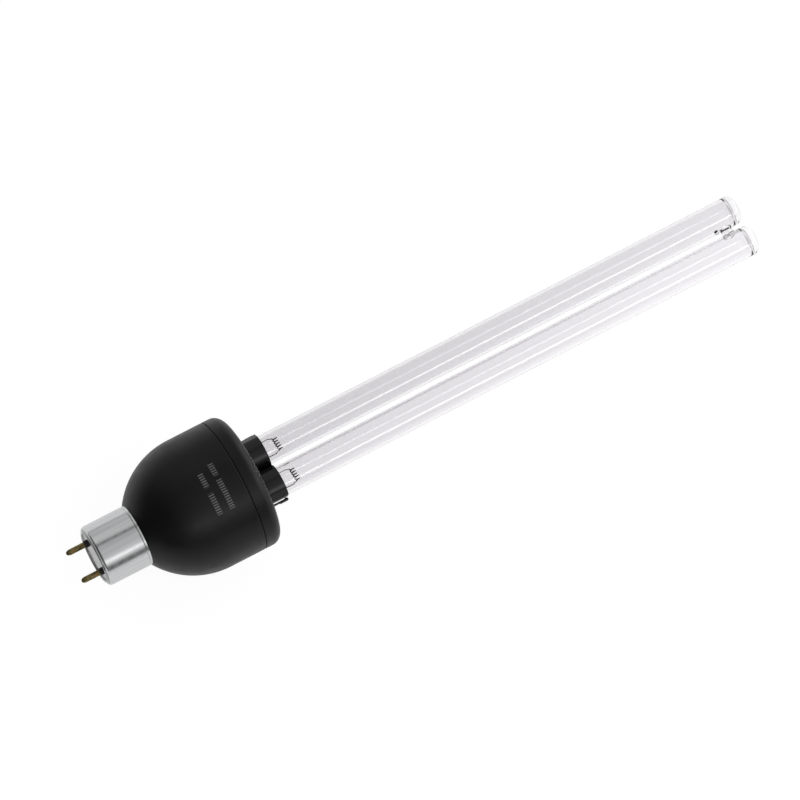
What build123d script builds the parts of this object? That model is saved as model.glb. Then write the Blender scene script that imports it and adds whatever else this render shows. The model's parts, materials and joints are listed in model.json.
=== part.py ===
from build123d import *
import os
from math import asin, atan2, cos, degrees, hypot, radians, sin, sqrt

os.makedirs("parts", exist_ok=True)

# Sizes are in millimetres. Distances called _a run along the lamp's own axis, from the joint
# between cap and housing: the cap lies at negative distances, the tube at positive ones.

# Contact pins and cap
pin_spacing = 12.7
pin_r = 1.2
pin_bare_length = 8.0
pin_nose = 1.9
pin_nose_flat_r = 0.25
pin_nose_mid_a = 0.67
pin_nose_mid_r = 0.94
pin_neck_r = 0.95
pin_bore_r = 0.65
pin_bore_depth = 6.5
pin_flange_r = 2.0
pin_flange_t = 0.6
pin_play = 0.02
boss_r = 1.5
boss_height = 1.3
cap_r = 12.8
cap_length = 19.5
cap_wall = 0.5
cap_shoulder_r = 1.5
cap_bead_r = 0.5
cap_bead_inset = 2.1
cap_face_recess = 0.6
cap_rim_depth = 1.1
cap_groove_a = -0.95
cap_groove_w = 0.5
cap_groove_depth = 0.2
insulator_t = 2.4
insulator_play = 0.1

# Ballast housing: the dome, and the cover that plugs into it
housing_r = 27.8
housing_wall = 1.6
mouth_lip = 0.25
shoulder_a = 27.5
seam_a = 42.5
seam_gap = 0.2
seam_chamfer = 0.25
neck_length = 9.0
neck_play = 0.05
neck_wall = 1.65
cover_front_a = 50.5
cover_edge_r = 4.5
cover_wall = 1.8
cover_inner_fillet = 2.4
skirt_wall = 1.4
skirt_play = 0.1
snap_ring_a = 39.0
snap_ring_height = 0.35
snap_ring_half = 0.6
snap_ring_play = 0.1
rib_count = 6
rib_width = 1.6
rib_height = 2.8
rib_length = 11.0
rib_root = 0.2

# Collar that holds the two legs of the tube
leg_pitch = 14.3
lobe_r = 7.35
collar_groove_up = 2.6
socket_wall = 0.4
collar_front_a = 60.0
collar_rear_a = 44.3
collar_flange = 1.6
collar_flange_t = 1.5
collar_edge = 0.3
valley_fillet = 0.6
collar_play = 0.15

# Snap fingers on the cover, one at each side of the collar
finger_gap = 0.75
finger_t = 0.5
finger_head_t = 0.8
finger_head_length = 3.4
finger_nose = 0.45
finger_nose_length = 1.5
finger_width = 1.8
finger_length = 8.8

# Quartz twin tube
leg_r = 6.1
glass_wall = 1.1
tip_a = 275.6
tip_edge_r = 2.5
tip_crown = 0.7
tip_wall = 2.6
tip_inner_edge_r = 2.0
bridge_back = 8.4
bridge_r = 2.6
bridge_bore_r = 1.5
nub_back = 12.9
nub_up = 2.25
nub_r = 0.8
nub_root_y = 2.1
nub_tip_y = 0.2
socket_play = 0.05
pinch_rear_a = 42.5
pinch_front_a = 49.5
pinch_t = 3.2
shoulder_length = 5.0
cavity_start_a = 55.3
cavity_edge_r = 2.4

# Electrodes, their leads and the foils in the pinch seals
lead_r = 0.2
lead_y = 3.4
lead_play = 0.02
coil_a = 66.6
coil_r = 0.9
coil_wire_r = 0.25
coil_turns = 5
coil_pitch = 1.15
lead_bend_a = 64.2
lead_end_gap = 0.15
foil_t = 0.05
foil_width = 2.0
foil_front_a = 48.8
foil_rear_a = 45.2
foil_play = 0.03
cement_front_a = 49.2
cement_rear_a = 41.3
cement_play = 0.02

# Circuit board and its wires
board_front_a = 33.1
board_t = 1.6
board_margin = 0.6
board_play = 0.1
board_hole_r = 0.55
hole_play = 0.15
leg_wire_r = 0.35
leg_out = 1.0
lamp_wire_r = 0.35
lamp_wire_up = -1.5
lamp_wire_run = 2.0
lamp_wire_bend = 3.0
supply_wire_r = 0.55
supply_wire_up = 0.6
supply_wire_depth = 4.0
supply_wire_bend = 20.0

# Parts on the board; a share is a place on it, as a part of the board's radius
can_lift = 0.3
bulk_r = 6.5
bulk_length = 20.0
bulk_up_share = 0.383
bulk_leg_y = 2.5
bulk_groove_depth = 0.45
bulk_groove_back = 2.2
bulk_edge = 0.8
choke_up_share = -0.375
choke_core_w = 16.0
choke_core_length = 14.0
choke_core_t = 5.2
choke_yoke = 2.4
choke_leg_w = 4.8
choke_side_w = 2.3
choke_lift = 0.3
choke_pin = 0.6
choke_pin_y = 4.0
choke_pin_up = 4.5
bobbin_play = 0.1
bobbin_wall = 0.7
bobbin_flange_t = 0.8
bobbin_half_up = 6.0
winding_inset = 0.4
winding_play = 0.05
winding_corner = 1.5
toroid_y_share = -0.617
toroid_up_share = -0.34
toroid_r = 4.2
toroid_hole_r = 2.2
toroid_height = 4.0
toroid_lift = 0.6
winding_wire = 0.45
winding_angle = 80
transistor_w = 7.8
transistor_t = 2.8
transistor_height = 10.8
transistor_lift = 3.0
transistor_y_share = 0.586
transistor_up_shares = (-0.219, -0.422)
transistor_hole_r = 1.6
transistor_hole_back = 3.6
transistor_leg = 0.7
transistor_leg_t = 0.5
transistor_leg_pitch = 2.3
film_w = 5.2
film_length = 10.5
film_height = 10.0
film_y_share = 0.555
film_up_share = 0.141
film_leg_up = 3.75
film_edge = 0.6
diode_r = 1.35
diode_length = 5.0
diode_span = 8.0
diode_lift = 2.2
diode_bend = 1.0
diode_y_share = 0.523
diode_up_shares = (0.469, 0.602)
fuse_r = 1.6
fuse_length = 7.0
fuse_span = 10.0
fuse_up_share = -0.766

# Places of the tips' edge ring and of the cover's edge ring, which touch the floor
tip_crown_r = (leg_r**2 + tip_crown**2) / (2 * tip_crown)
tip_ring_r = leg_r - tip_edge_r
tip_ring_a = tip_a - tip_crown_r + sqrt((tip_crown_r - tip_edge_r) ** 2 - tip_ring_r**2)
cover_ring_r = housing_r - cover_edge_r
cover_ring_a = cover_front_a - cover_edge_r

# The lamp lies as it comes to rest, on the cover's edge and on both tips, so its axis slopes down
# towards the tips by the common tangent of those two rings.
ring_run = tip_ring_a - cover_ring_a
ring_drop = cover_ring_r - tip_ring_r
slope = atan2(ring_drop, ring_run) + asin((cover_edge_r - tip_edge_r) / hypot(ring_run, ring_drop))
axis_dir = Vector(cos(slope), 0, -sin(slope))
up_dir = Vector(sin(slope), 0, cos(slope))

# The origin is on the floor under the middle of the lamp's length
cap_end_a = -cap_length
cap_face_a = cap_end_a + cap_face_recess
boss_a = cap_face_a - boss_height
pin_tip_a = boss_a - pin_bare_length
reach_low = pin_tip_a * cos(slope) - pin_nose_flat_r * sin(slope)
reach_high = (tip_a - tip_crown_r) * cos(slope) + tip_crown_r
joint_x = -(reach_low + reach_high) / 2
joint_z = cover_ring_a * sin(slope) + cover_ring_r * cos(slope) + cover_edge_r
joint = Vector(joint_x, 0, joint_z)


def at(a, y=0.0, up=0.0):
    """The point that lies a along the lamp, y across it and up above its axis."""
    return joint + axis_dir * a + Vector(0, y, 0) + up_dir * up


def cross_plane(a):
    """A plane across the lamp: its x is Y, its y is up, and it faces the tips."""
    return Plane(origin=at(a), x_dir=(0, 1, 0), z_dir=axis_dir)


def long_plane(y=0.0):
    """The upright plane along the lamp: its x runs to the tips and its y is up."""
    return Plane(origin=at(0, y), x_dir=axis_dir, z_dir=(0, -1, 0))


def flat_plane(up=0.0):
    """The lying plane along the lamp: its x runs to the tips and its y is Y."""
    return Plane(origin=at(0, 0, up), x_dir=axis_dir, z_dir=up_dir)


def line_axis(y=0.0, up=0.0):
    """A line along the lamp."""
    return Axis(at(0, y, up), axis_dir)


# Cap shell: drawn aluminium cup with a rounded shoulder, a rolled bead and a flat face at its end,
# two holes in that face for the insulator's bosses, and a small bead at its open end
shoulder_plane_a = cap_end_a + cap_bead_r
rim_inner_a = shoulder_plane_a + cap_rim_depth - cap_bead_r
cap_inner_r = cap_r - cap_wall
cap_bead_ring_r = cap_r - cap_bead_inset
bead_inner_r = cap_bead_ring_r - cap_bead_r
bead_outer_r = cap_bead_ring_r + cap_bead_r
pin_spots = [(-pin_spacing / 2, 0), (pin_spacing / 2, 0)]
with BuildPart() as cap_shell:
    with BuildSketch(long_plane()):
        with BuildLine():
            Line((0, cap_inner_r), (0, cap_r))
            Polyline(
                (0, cap_r),
                (cap_groove_a + cap_groove_w / 2, cap_r),
                (cap_groove_a, cap_r - cap_groove_depth),
                (cap_groove_a - cap_groove_w / 2, cap_r),
                (shoulder_plane_a + cap_shoulder_r, cap_r),
            )
            RadiusArc(
                (shoulder_plane_a + cap_shoulder_r, cap_r),
                (shoulder_plane_a, cap_r - cap_shoulder_r),
                -cap_shoulder_r,
            )
            Line((shoulder_plane_a, cap_r - cap_shoulder_r), (shoulder_plane_a, bead_outer_r))
            ThreePointArc(
                (shoulder_plane_a, bead_outer_r),
                (cap_end_a, cap_bead_ring_r),
                (shoulder_plane_a, bead_inner_r),
            )
            Polyline(
                (shoulder_plane_a, bead_inner_r),
                (cap_face_a, bead_inner_r),
                (cap_face_a, 0),
                (rim_inner_a, 0),
                (rim_inner_a, cap_inner_r - cap_shoulder_r / 2),
                (rim_inner_a + cap_shoulder_r / 2, cap_inner_r),
                (0, cap_inner_r),
            )
        make_face()
    revolve(axis=line_axis())
    with BuildSketch(cross_plane(cap_face_a)):
        with Locations(*pin_spots):
            Circle(boss_r + insulator_play)
    extrude(amount=rim_inner_a - cap_face_a, mode=Mode.SUBTRACT)
cap_shell.part.label = "cap_shell"
export_step(cap_shell.part, "parts/cap_shell.step")

# Cap insulator: moulded disc behind the cap's face, with a boss through it round each pin
insulator_rear_a = rim_inner_a + insulator_t
insulator_r = cap_inner_r - insulator_play
with BuildPart() as cap_insulator:
    with BuildSketch(cross_plane(rim_inner_a)):
        Circle(insulator_r)
    extrude(amount=insulator_t)
    chamfer(cap_insulator.edges().group_by(Axis(at(0), axis_dir))[0], length=cap_shoulder_r / 2)
    with BuildSketch(cross_plane(boss_a)):
        with Locations(*pin_spots):
            Circle(boss_r)
    extrude(amount=rim_inner_a - boss_a)
    with BuildSketch(cross_plane(boss_a)):
        with Locations(*pin_spots):
            Circle(pin_neck_r + pin_play)
    extrude(amount=insulator_rear_a - boss_a, mode=Mode.SUBTRACT)
cap_insulator.part.label = "cap_insulator"
export_step(cap_insulator.part, "parts/cap_insulator.step")

# Contact pins: turned brass, bullet nosed, seated on the bosses, necked down to go through the
# insulator, flanged behind it and bored from there for the wire
flange_end_a = insulator_rear_a + pin_flange_t
for number, (pin_y, _) in enumerate(pin_spots, start=1):
    with BuildPart() as contact_pin:
        with BuildSketch(long_plane(pin_y)):
            with BuildLine():
                Line((pin_tip_a, 0), (pin_tip_a, pin_nose_flat_r))
                ThreePointArc(
                    (pin_tip_a, pin_nose_flat_r),
                    (pin_tip_a + pin_nose_mid_a, pin_nose_mid_r),
                    (pin_tip_a + pin_nose, pin_r),
                )
                Polyline(
                    (pin_tip_a + pin_nose, pin_r),
                    (boss_a, pin_r),
                    (boss_a, pin_neck_r),
                    (insulator_rear_a, pin_neck_r),
                    (insulator_rear_a, pin_flange_r),
                    (flange_end_a, pin_flange_r),
                    (flange_end_a, pin_bore_r),
                    (flange_end_a - pin_bore_depth, pin_bore_r),
                    (flange_end_a - pin_bore_depth, 0),
                    (pin_tip_a, 0),
                )
            make_face()
        revolve(axis=line_axis(pin_y))
    contact_pin.part.label = f"contact_pin_{number}"
    export_step(contact_pin.part, f"parts/contact_pin_{number}.step")

# Housing dome: bell-shaped shell with a neck inside the cap and ribs that the board rests on
mouth_r = cap_r + mouth_lip
dome_arc_r = (shoulder_a**2 + (housing_r - mouth_r) ** 2) / (2 * (housing_r - mouth_r))
dome_inner_r = housing_r - housing_wall
dome_inner_arc_r = dome_arc_r - housing_wall
neck_r = cap_inner_r - neck_play
neck_inner_r = neck_r - neck_wall
arc_centre_r = housing_r - dome_arc_r
neck_meet_a = shoulder_a - sqrt(dome_inner_arc_r**2 - (neck_inner_r - arc_centre_r) ** 2)
board_rear_a = board_front_a - board_t
rib_inner_r = dome_inner_r - rib_height
rib_outer_r = dome_inner_r + rib_root
groove_half = snap_ring_half + snap_ring_play
groove_depth = snap_ring_height + snap_ring_play - skirt_play
with BuildPart() as housing_dome:
    with BuildSketch(long_plane()):
        with BuildLine():
            Polyline((-neck_length, neck_inner_r), (-neck_length, neck_r), (0, neck_r), (0, mouth_r))
            RadiusArc((0, mouth_r), (shoulder_a, housing_r), dome_arc_r)
            Polyline(
                (shoulder_a, housing_r),
                (seam_a - seam_chamfer, housing_r),
                (seam_a, housing_r - seam_chamfer),
                (seam_a, dome_inner_r),
                (snap_ring_a + groove_half, dome_inner_r),
                (snap_ring_a, dome_inner_r + groove_depth),
                (snap_ring_a - groove_half, dome_inner_r),
                (shoulder_a, dome_inner_r),
            )
            RadiusArc((shoulder_a, dome_inner_r), (neck_meet_a, neck_inner_r), -dome_inner_arc_r)
            Line((neck_meet_a, neck_inner_r), (-neck_length, neck_inner_r))
        make_face()
    revolve(axis=line_axis())
    with BuildSketch(cross_plane(board_rear_a)):
        with PolarLocations((rib_inner_r + rib_outer_r) / 2, rib_count):
            Rectangle(rib_outer_r - rib_inner_r, rib_width)
    extrude(amount=-rib_length)
housing_dome.part.label = "housing_dome"
export_step(housing_dome.part, "parts/housing_dome.step")

# Places of the tube's two legs across the lamp
leg_spots = [(-leg_pitch / 2, 0), (leg_pitch / 2, 0)]
socket_r = leg_r + socket_play + socket_wall


def collar_outline(grow):
    """The collar's outline, grown all round: two lobes, a groove along each side for the snap
    finger, and the round sockets, which make the grooves' floors."""
    with BuildSketch() as outline:
        with Locations(*leg_spots):
            Circle(lobe_r + grow)
        with Locations((-leg_pitch / 2 - lobe_r, 0), (leg_pitch / 2 + lobe_r, 0)):
            Rectangle(2 * lobe_r, 2 * (collar_groove_up - grow), mode=Mode.SUBTRACT)
        with Locations(*leg_spots):
            Circle(socket_r + grow)
        valleys = outline.vertices().filter_by(lambda corner: abs(corner.X) < lobe_r / 2)
        fillet(valleys, valley_fillet)
    return outline.sketch


# Front cover: rounded cup with a skirt that plugs into the dome, the opening for the collar, and
# a snap finger on each side of it
skirt_r = dome_inner_r - skirt_play
skirt_inner_r = skirt_r - skirt_wall
skirt_end_a = board_front_a + board_play
cover_back_a = seam_a + seam_gap
wall_inner_a = cover_front_a - cover_wall
finger_y = leg_pitch / 2 + socket_r + finger_gap
finger_tip_a = cover_front_a + finger_length
head_a = finger_tip_a - finger_head_length
nose_a = finger_tip_a - finger_nose_length
with BuildPart() as front_cover:
    with BuildSketch(long_plane()):
        with BuildLine():
            Polyline(
                (wall_inner_a, 0),
                (wall_inner_a, skirt_inner_r - cover_inner_fillet),
                (wall_inner_a - cover_inner_fillet, skirt_inner_r),
                (skirt_end_a, skirt_inner_r),
                (skirt_end_a, skirt_r),
                (snap_ring_a - snap_ring_half, skirt_r),
                (snap_ring_a, skirt_r + snap_ring_height),
                (snap_ring_a + snap_ring_half, skirt_r),
                (cover_back_a, skirt_r),
                (cover_back_a, housing_r - seam_chamfer),
                (cover_back_a + seam_chamfer, housing_r),
                (cover_ring_a, housing_r),
            )
            RadiusArc((cover_ring_a, housing_r), (cover_front_a, cover_ring_r), cover_edge_r)
            Polyline((cover_front_a, cover_ring_r), (cover_front_a, 0), (wall_inner_a, 0))
        make_face()
    revolve(axis=line_axis())
    with BuildSketch(cross_plane(wall_inner_a)):
        add(collar_outline(collar_play))
    extrude(amount=cover_wall, mode=Mode.SUBTRACT)
    with BuildSketch(flat_plane(-finger_width / 2)):
        for side in (-1, 1):
            with BuildLine():
                Polyline(
                    (wall_inner_a, side * finger_y),
                    (nose_a, side * finger_y),
                    (nose_a + finger_nose_length / 3, side * (finger_y - finger_nose)),
                    (finger_tip_a, side * (finger_y + finger_t / 4)),
                    (finger_tip_a, side * (finger_y + finger_head_t)),
                    (head_a, side * (finger_y + finger_head_t)),
                    (head_a - finger_t, side * (finger_y + finger_t)),
                    (wall_inner_a, side * (finger_y + finger_t)),
                    close=True,
                )
            make_face()
    extrude(amount=finger_width)
front_cover.part.label = "front_cover"
export_step(front_cover.part, "parts/front_cover.step")

# Lamp collar: twin-lobed block with a flange behind the cover's wall and a bore for each leg
with BuildPart() as lamp_collar:
    with BuildSketch(cross_plane(collar_rear_a)):
        add(collar_outline(0))
    extrude(amount=collar_front_a - collar_rear_a)
    chamfer(lamp_collar.faces().sort_by(Axis(at(0), axis_dir))[-1].edges(), collar_edge)
    with BuildSketch(cross_plane(wall_inner_a)):
        add(collar_outline(collar_flange))
    extrude(amount=-collar_flange_t)
    with BuildSketch(cross_plane(collar_rear_a)):
        with Locations(*leg_spots):
            Circle(leg_r + socket_play)
    extrude(amount=collar_front_a - collar_rear_a, mode=Mode.SUBTRACT)
lamp_collar.part.label = "lamp_collar"
export_step(lamp_collar.part, "parts/lamp_collar.step")

# Quartz tube: two legs with flattened domes at their tips, flat pinch seals at their base, a hollow
# bridge near the tips and beside it the nub where the tube was sealed off, all one piece of glass
bore_r = leg_r - glass_wall
tip_inner_a = tip_a - tip_wall
bridge_a = tip_a - bridge_back
nub_a = tip_a - nub_back
nub_edge_r = 0.8 * nub_r
jaw_front_a = pinch_front_a + shoulder_length
lead_spots = [(side * leg_pitch / 2 + offset, 0) for side in (-1, 1) for offset in (-lead_y, lead_y)]
with BuildPart() as quartz_tube:
    for leg_y, _ in leg_spots:
        with BuildSketch(long_plane(leg_y)) as leg_half:
            with BuildLine():
                Line((tip_a, 0), (pinch_rear_a, 0))
                Line((pinch_rear_a, 0), (pinch_rear_a, leg_r))
                Line((pinch_rear_a, leg_r), (tip_a - tip_crown, leg_r))
                RadiusArc((tip_a - tip_crown, leg_r), (tip_a, 0), tip_crown_r)
            make_face()
            fillet(leg_half.vertices().sort_by(Axis.X)[-2:].sort_by(Axis.Y)[-1], tip_edge_r)
        revolve(axis=line_axis(leg_y))
    with BuildSketch(Plane(origin=at(bridge_a, -leg_pitch / 2), x_dir=axis_dir, z_dir=(0, 1, 0))):
        Circle(bridge_r)
    extrude(amount=leg_pitch)
    with BuildSketch(long_plane(-leg_pitch)):
        for side in (-1, 1):
            with BuildLine():
                Polyline(
                    (pinch_rear_a, side * pinch_t / 2),
                    (pinch_front_a, side * pinch_t / 2),
                    (jaw_front_a, side * leg_r),
                    (pinch_rear_a, side * leg_r),
                    close=True,
                )
            make_face()
    extrude(amount=-2 * leg_pitch, mode=Mode.SUBTRACT)
    for leg_y, _ in leg_spots:
        with BuildSketch(long_plane(leg_y)) as bore_half:
            with BuildLine():
                Polyline(
                    (tip_inner_a, 0),
                    (cavity_start_a, 0),
                    (cavity_start_a, bore_r),
                    (tip_inner_a, bore_r),
                    close=True,
                )
            make_face()
            fillet(bore_half.vertices().group_by(Axis.X)[-1].sort_by(Axis.Y)[-1], tip_inner_edge_r)
            fillet(bore_half.vertices().group_by(Axis.X)[0].sort_by(Axis.Y)[-1], cavity_edge_r)
        revolve(axis=line_axis(leg_y), mode=Mode.SUBTRACT)
    with BuildSketch(Plane(origin=at(bridge_a, -leg_pitch / 2), x_dir=axis_dir, z_dir=(0, 1, 0))):
        Circle(bridge_bore_r)
    extrude(amount=leg_pitch, mode=Mode.SUBTRACT)
    with BuildSketch(Plane(origin=at(nub_a, nub_tip_y, nub_up), x_dir=axis_dir, z_dir=(0, 1, 0))):
        Circle(nub_r)
    extrude(amount=nub_root_y - nub_tip_y)
    fillet(quartz_tube.edges().sort_by_distance(at(nub_a, nub_tip_y, nub_up))[0], nub_edge_r)
    with BuildSketch(cross_plane(foil_front_a)):
        with Locations(*lead_spots):
            Circle(lead_r + lead_play)
    extrude(amount=cavity_start_a - foil_front_a + cavity_edge_r, mode=Mode.SUBTRACT)
    with BuildSketch(cross_plane(foil_rear_a - foil_play)):
        with Locations(*lead_spots):
            Rectangle(foil_width + 2 * foil_play, foil_t + 2 * foil_play)
    extrude(amount=foil_front_a - foil_rear_a + 2 * foil_play, mode=Mode.SUBTRACT)
    with BuildSketch(cross_plane(pinch_rear_a)):
        with Locations(*lead_spots):
            Circle(lamp_wire_r + lead_play)
    extrude(amount=foil_rear_a - pinch_rear_a, mode=Mode.SUBTRACT)
quartz_tube.part.label = "quartz_tube"
export_step(quartz_tube.part, "parts/quartz_tube.step")

# Electrode coils: tungsten wire wound across each leg, turned so that both ends face the leads
coil_length = coil_turns * coil_pitch
coil_turn = degrees(slope) - 90
for number, (leg_y, _) in enumerate(leg_spots, start=1):
    coil_start = at(coil_a, leg_y - coil_length / 2)
    with BuildPart() as electrode_coil:
        with BuildLine() as coil_path:
            helix = Helix(coil_pitch, coil_length, coil_r, coil_start, (0, 1, 0), mode=Mode.PRIVATE)
            add(helix.rotate(Axis(coil_start, (0, 1, 0)), coil_turn))
        with BuildSketch(Plane(origin=coil_path.line @ 0, z_dir=coil_path.line % 0)):
            Circle(coil_wire_r)
        sweep(path=coil_path.line, is_frenet=True)
    electrode_coil.part.label = f"electrode_coil_{number}"
    export_step(electrode_coil.part, f"parts/electrode_coil_{number}.step")

# Electrode leads: stiff wires from the foils, bent in to the ends of each coil
lead_end_a = coil_a - coil_r - coil_wire_r - lead_end_gap
coil_end_y = coil_length / 2
for number, (lead_spot_y, _) in enumerate(lead_spots, start=1):
    leg_y = -leg_pitch / 2 if lead_spot_y < 0 else leg_pitch / 2
    side = 1 if lead_spot_y > leg_y else -1
    with BuildPart() as electrode_lead:
        with BuildLine() as lead_path:
            FilletPolyline(
                at(foil_front_a + foil_play, lead_spot_y),
                at(lead_bend_a, lead_spot_y),
                at(lead_end_a, leg_y + side * coil_end_y),
                radius=2 * lead_r,
            )
        with BuildSketch(Plane(origin=lead_path.line @ 0, z_dir=lead_path.line % 0)):
            Circle(lead_r)
        sweep(path=lead_path.line)
    electrode_lead.part.label = f"electrode_lead_{number}"
    export_step(electrode_lead.part, f"parts/electrode_lead_{number}.step")

# Seal foils: thin molybdenum strips in the pinch seals, between lead and wire
for number, (foil_y, _) in enumerate(lead_spots, start=1):
    with BuildPart() as seal_foil:
        with BuildSketch(cross_plane(foil_rear_a)):
            with Locations((foil_y, 0)):
                Rectangle(foil_width, foil_t)
        extrude(amount=foil_front_a - foil_rear_a)
    seal_foil.part.label = f"seal_foil_{number}"
    export_step(seal_foil.part, f"parts/seal_foil_{number}.step")

# Base cement: a plug round and behind each pinch seal, in the collar's bore
for number, (leg_y, _) in enumerate(leg_spots, start=1):
    with BuildPart() as base_cement:
        with BuildSketch(cross_plane(cement_rear_a)):
            with Locations((leg_y, 0)):
                Circle(leg_r + socket_play - cement_play)
        extrude(amount=cement_front_a - cement_rear_a)
        with BuildSketch(cross_plane(pinch_rear_a - cement_play)):
            with Locations((leg_y, 0)):
                Rectangle(3 * leg_r, pinch_t + 2 * cement_play)
        extrude(amount=cement_front_a - pinch_rear_a + cement_play, mode=Mode.SUBTRACT)
        with BuildSketch(cross_plane(cement_rear_a)):
            with Locations((leg_y - lead_y, 0), (leg_y + lead_y, 0)):
                Circle(lamp_wire_r + lead_play)
        extrude(amount=pinch_rear_a - cement_rear_a, mode=Mode.SUBTRACT)
    base_cement.part.label = f"base_cement_{number}"
    export_step(base_cement.part, f"parts/base_cement_{number}.step")

# Places of the parts on the board, across the lamp
board_r = dome_inner_r - board_margin
bulk_up = board_r * bulk_up_share
choke_up = board_r * choke_up_share
toroid_y = board_r * toroid_y_share
toroid_up = board_r * toroid_up_share
transistor_y = board_r * transistor_y_share
transistor_spots = [(transistor_y, board_r * share) for share in transistor_up_shares]
film_y = board_r * film_y_share
film_up = board_r * film_up_share
diode_y = board_r * diode_y_share
diode_spots = [(y, board_r * share) for y in (-diode_y, diode_y) for share in diode_up_shares]
fuse_up = board_r * fuse_up_share

# Where each leg and wire goes through the board
bulk_legs = [(-bulk_leg_y, bulk_up), (bulk_leg_y, bulk_up)]
choke_legs = [
    (y, choke_up + up) for y in (-choke_pin_y, choke_pin_y) for up in (-choke_pin_up, choke_pin_up)
]
film_legs = [(y, film_up + up) for y in (-film_y, film_y) for up in (-film_leg_up, film_leg_up)]
transistor_legs = [
    (y + leg * transistor_leg_pitch, up) for y, up in transistor_spots for leg in (-1, 0, 1)
]
diode_legs = [(y + end * diode_span / 2, up) for y, up in diode_spots for end in (-1, 1)]
fuse_legs = [(-fuse_span / 2, fuse_up), (fuse_span / 2, fuse_up)]
lamp_wire_holes = [(y, lamp_wire_up) for y, _ in lead_spots]
supply_wire_holes = [(y, supply_wire_up) for y, _ in pin_spots]

# Circuit board: round, seated on the dome's ribs, with a hole for each leg and wire
with BuildPart() as ballast_board:
    with BuildSketch(cross_plane(board_rear_a)):
        Circle(board_r)
        with Locations(*bulk_legs, *choke_legs, *film_legs, *transistor_legs, *diode_legs, *fuse_legs):
            Circle(board_hole_r, mode=Mode.SUBTRACT)
        with Locations(*lamp_wire_holes):
            Circle(lamp_wire_r + hole_play, mode=Mode.SUBTRACT)
        with Locations(*supply_wire_holes):
            Circle(supply_wire_r + hole_play, mode=Mode.SUBTRACT)
    extrude(amount=board_t)
ballast_board.part.label = "ballast_board"
export_step(ballast_board.part, "parts/ballast_board.step")


def wire_along(points, radius, bend):
    """A round wire along straight runs that are joined by tangent arcs."""
    with BuildPart() as wire:
        with BuildLine() as route:
            FilletPolyline(*points, radius=bend)
        with BuildSketch(Plane(origin=route.line @ 0, z_dir=route.line % 0)):
            Circle(radius)
        sweep(path=route.line)
    return wire.part


# Lamp wires: from the rear of each foil, through the pinch seal, to the board
for number, (wire_y, _) in enumerate(lead_spots, start=1):
    lamp_wire = wire_along(
        [
            at(foil_rear_a - foil_play, wire_y),
            at(pinch_rear_a - lamp_wire_run, wire_y),
            at(board_front_a + lamp_wire_run, wire_y, lamp_wire_up),
            at(board_rear_a + hole_play, wire_y, lamp_wire_up),
        ],
        lamp_wire_r,
        lamp_wire_bend,
    )
    lamp_wire.label = f"lamp_wire_{number}"
    export_step(lamp_wire, f"parts/lamp_wire_{number}.step")

# Supply wires: from the bore of each contact pin, through the neck, to the board
for number, (wire_y, _) in enumerate(pin_spots, start=1):
    supply_wire = wire_along(
        [
            at(flange_end_a - supply_wire_depth, wire_y),
            at(0, wire_y),
            at(shoulder_a - supply_wire_bend / 2, wire_y, supply_wire_up),
            at(board_front_a - hole_play, wire_y, supply_wire_up),
        ],
        supply_wire_r,
        supply_wire_bend,
    )
    supply_wire.label = f"supply_wire_{number}"
    export_step(supply_wire, f"parts/supply_wire_{number}.step")

# Bulk capacitor: aluminium can with a rolled groove near its foot, and two legs
leg_end_a = board_front_a + leg_out
can_foot_a = board_rear_a - can_lift
can_top_a = can_foot_a - bulk_length
groove_a = can_foot_a - bulk_groove_back
with BuildPart() as bulk_capacitor:
    with BuildSketch(long_plane()):
        with BuildLine():
            Polyline(
                (can_foot_a, bulk_up),
                (can_foot_a, bulk_up + bulk_r),
                (groove_a + bulk_groove_depth, bulk_up + bulk_r),
            )
            ThreePointArc(
                (groove_a + bulk_groove_depth, bulk_up + bulk_r),
                (groove_a, bulk_up + bulk_r - bulk_groove_depth),
                (groove_a - bulk_groove_depth, bulk_up + bulk_r),
            )
            Polyline(
                (groove_a - bulk_groove_depth, bulk_up + bulk_r),
                (can_top_a + bulk_edge, bulk_up + bulk_r),
                (can_top_a, bulk_up + bulk_r - bulk_edge),
                (can_top_a, bulk_up),
                (can_foot_a, bulk_up),
            )
        make_face()
    revolve(axis=line_axis(0, bulk_up))
    with BuildSketch(cross_plane(can_foot_a)):
        with Locations(*bulk_legs):
            Circle(leg_wire_r)
    extrude(amount=leg_end_a - can_foot_a)
bulk_capacitor.part.label = "bulk_capacitor"
export_step(bulk_capacitor.part, "parts/bulk_capacitor.step")

# Choke core: pair of ferrite halves as one ring with a middle leg, standing off the board
core_foot_a = board_rear_a - choke_lift
core_top_a = core_foot_a - choke_core_length
window_length = choke_core_length - 2 * choke_yoke
window_middle_a = (core_foot_a + core_top_a) / 2
window_w = choke_core_w / 2 - choke_side_w - choke_leg_w / 2
window_y = (choke_leg_w + window_w) / 2
with BuildPart() as choke_core:
    with BuildSketch(flat_plane(choke_up - choke_core_t / 2)):
        with Locations((window_middle_a, 0)):
            Rectangle(choke_core_length, choke_core_w)
        with Locations((window_middle_a, -window_y), (window_middle_a, window_y)):
            Rectangle(window_length, window_w, mode=Mode.SUBTRACT)
    extrude(amount=choke_core_t)
choke_core.part.label = "choke_core"
export_step(choke_core.part, "parts/choke_core.step")

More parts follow.
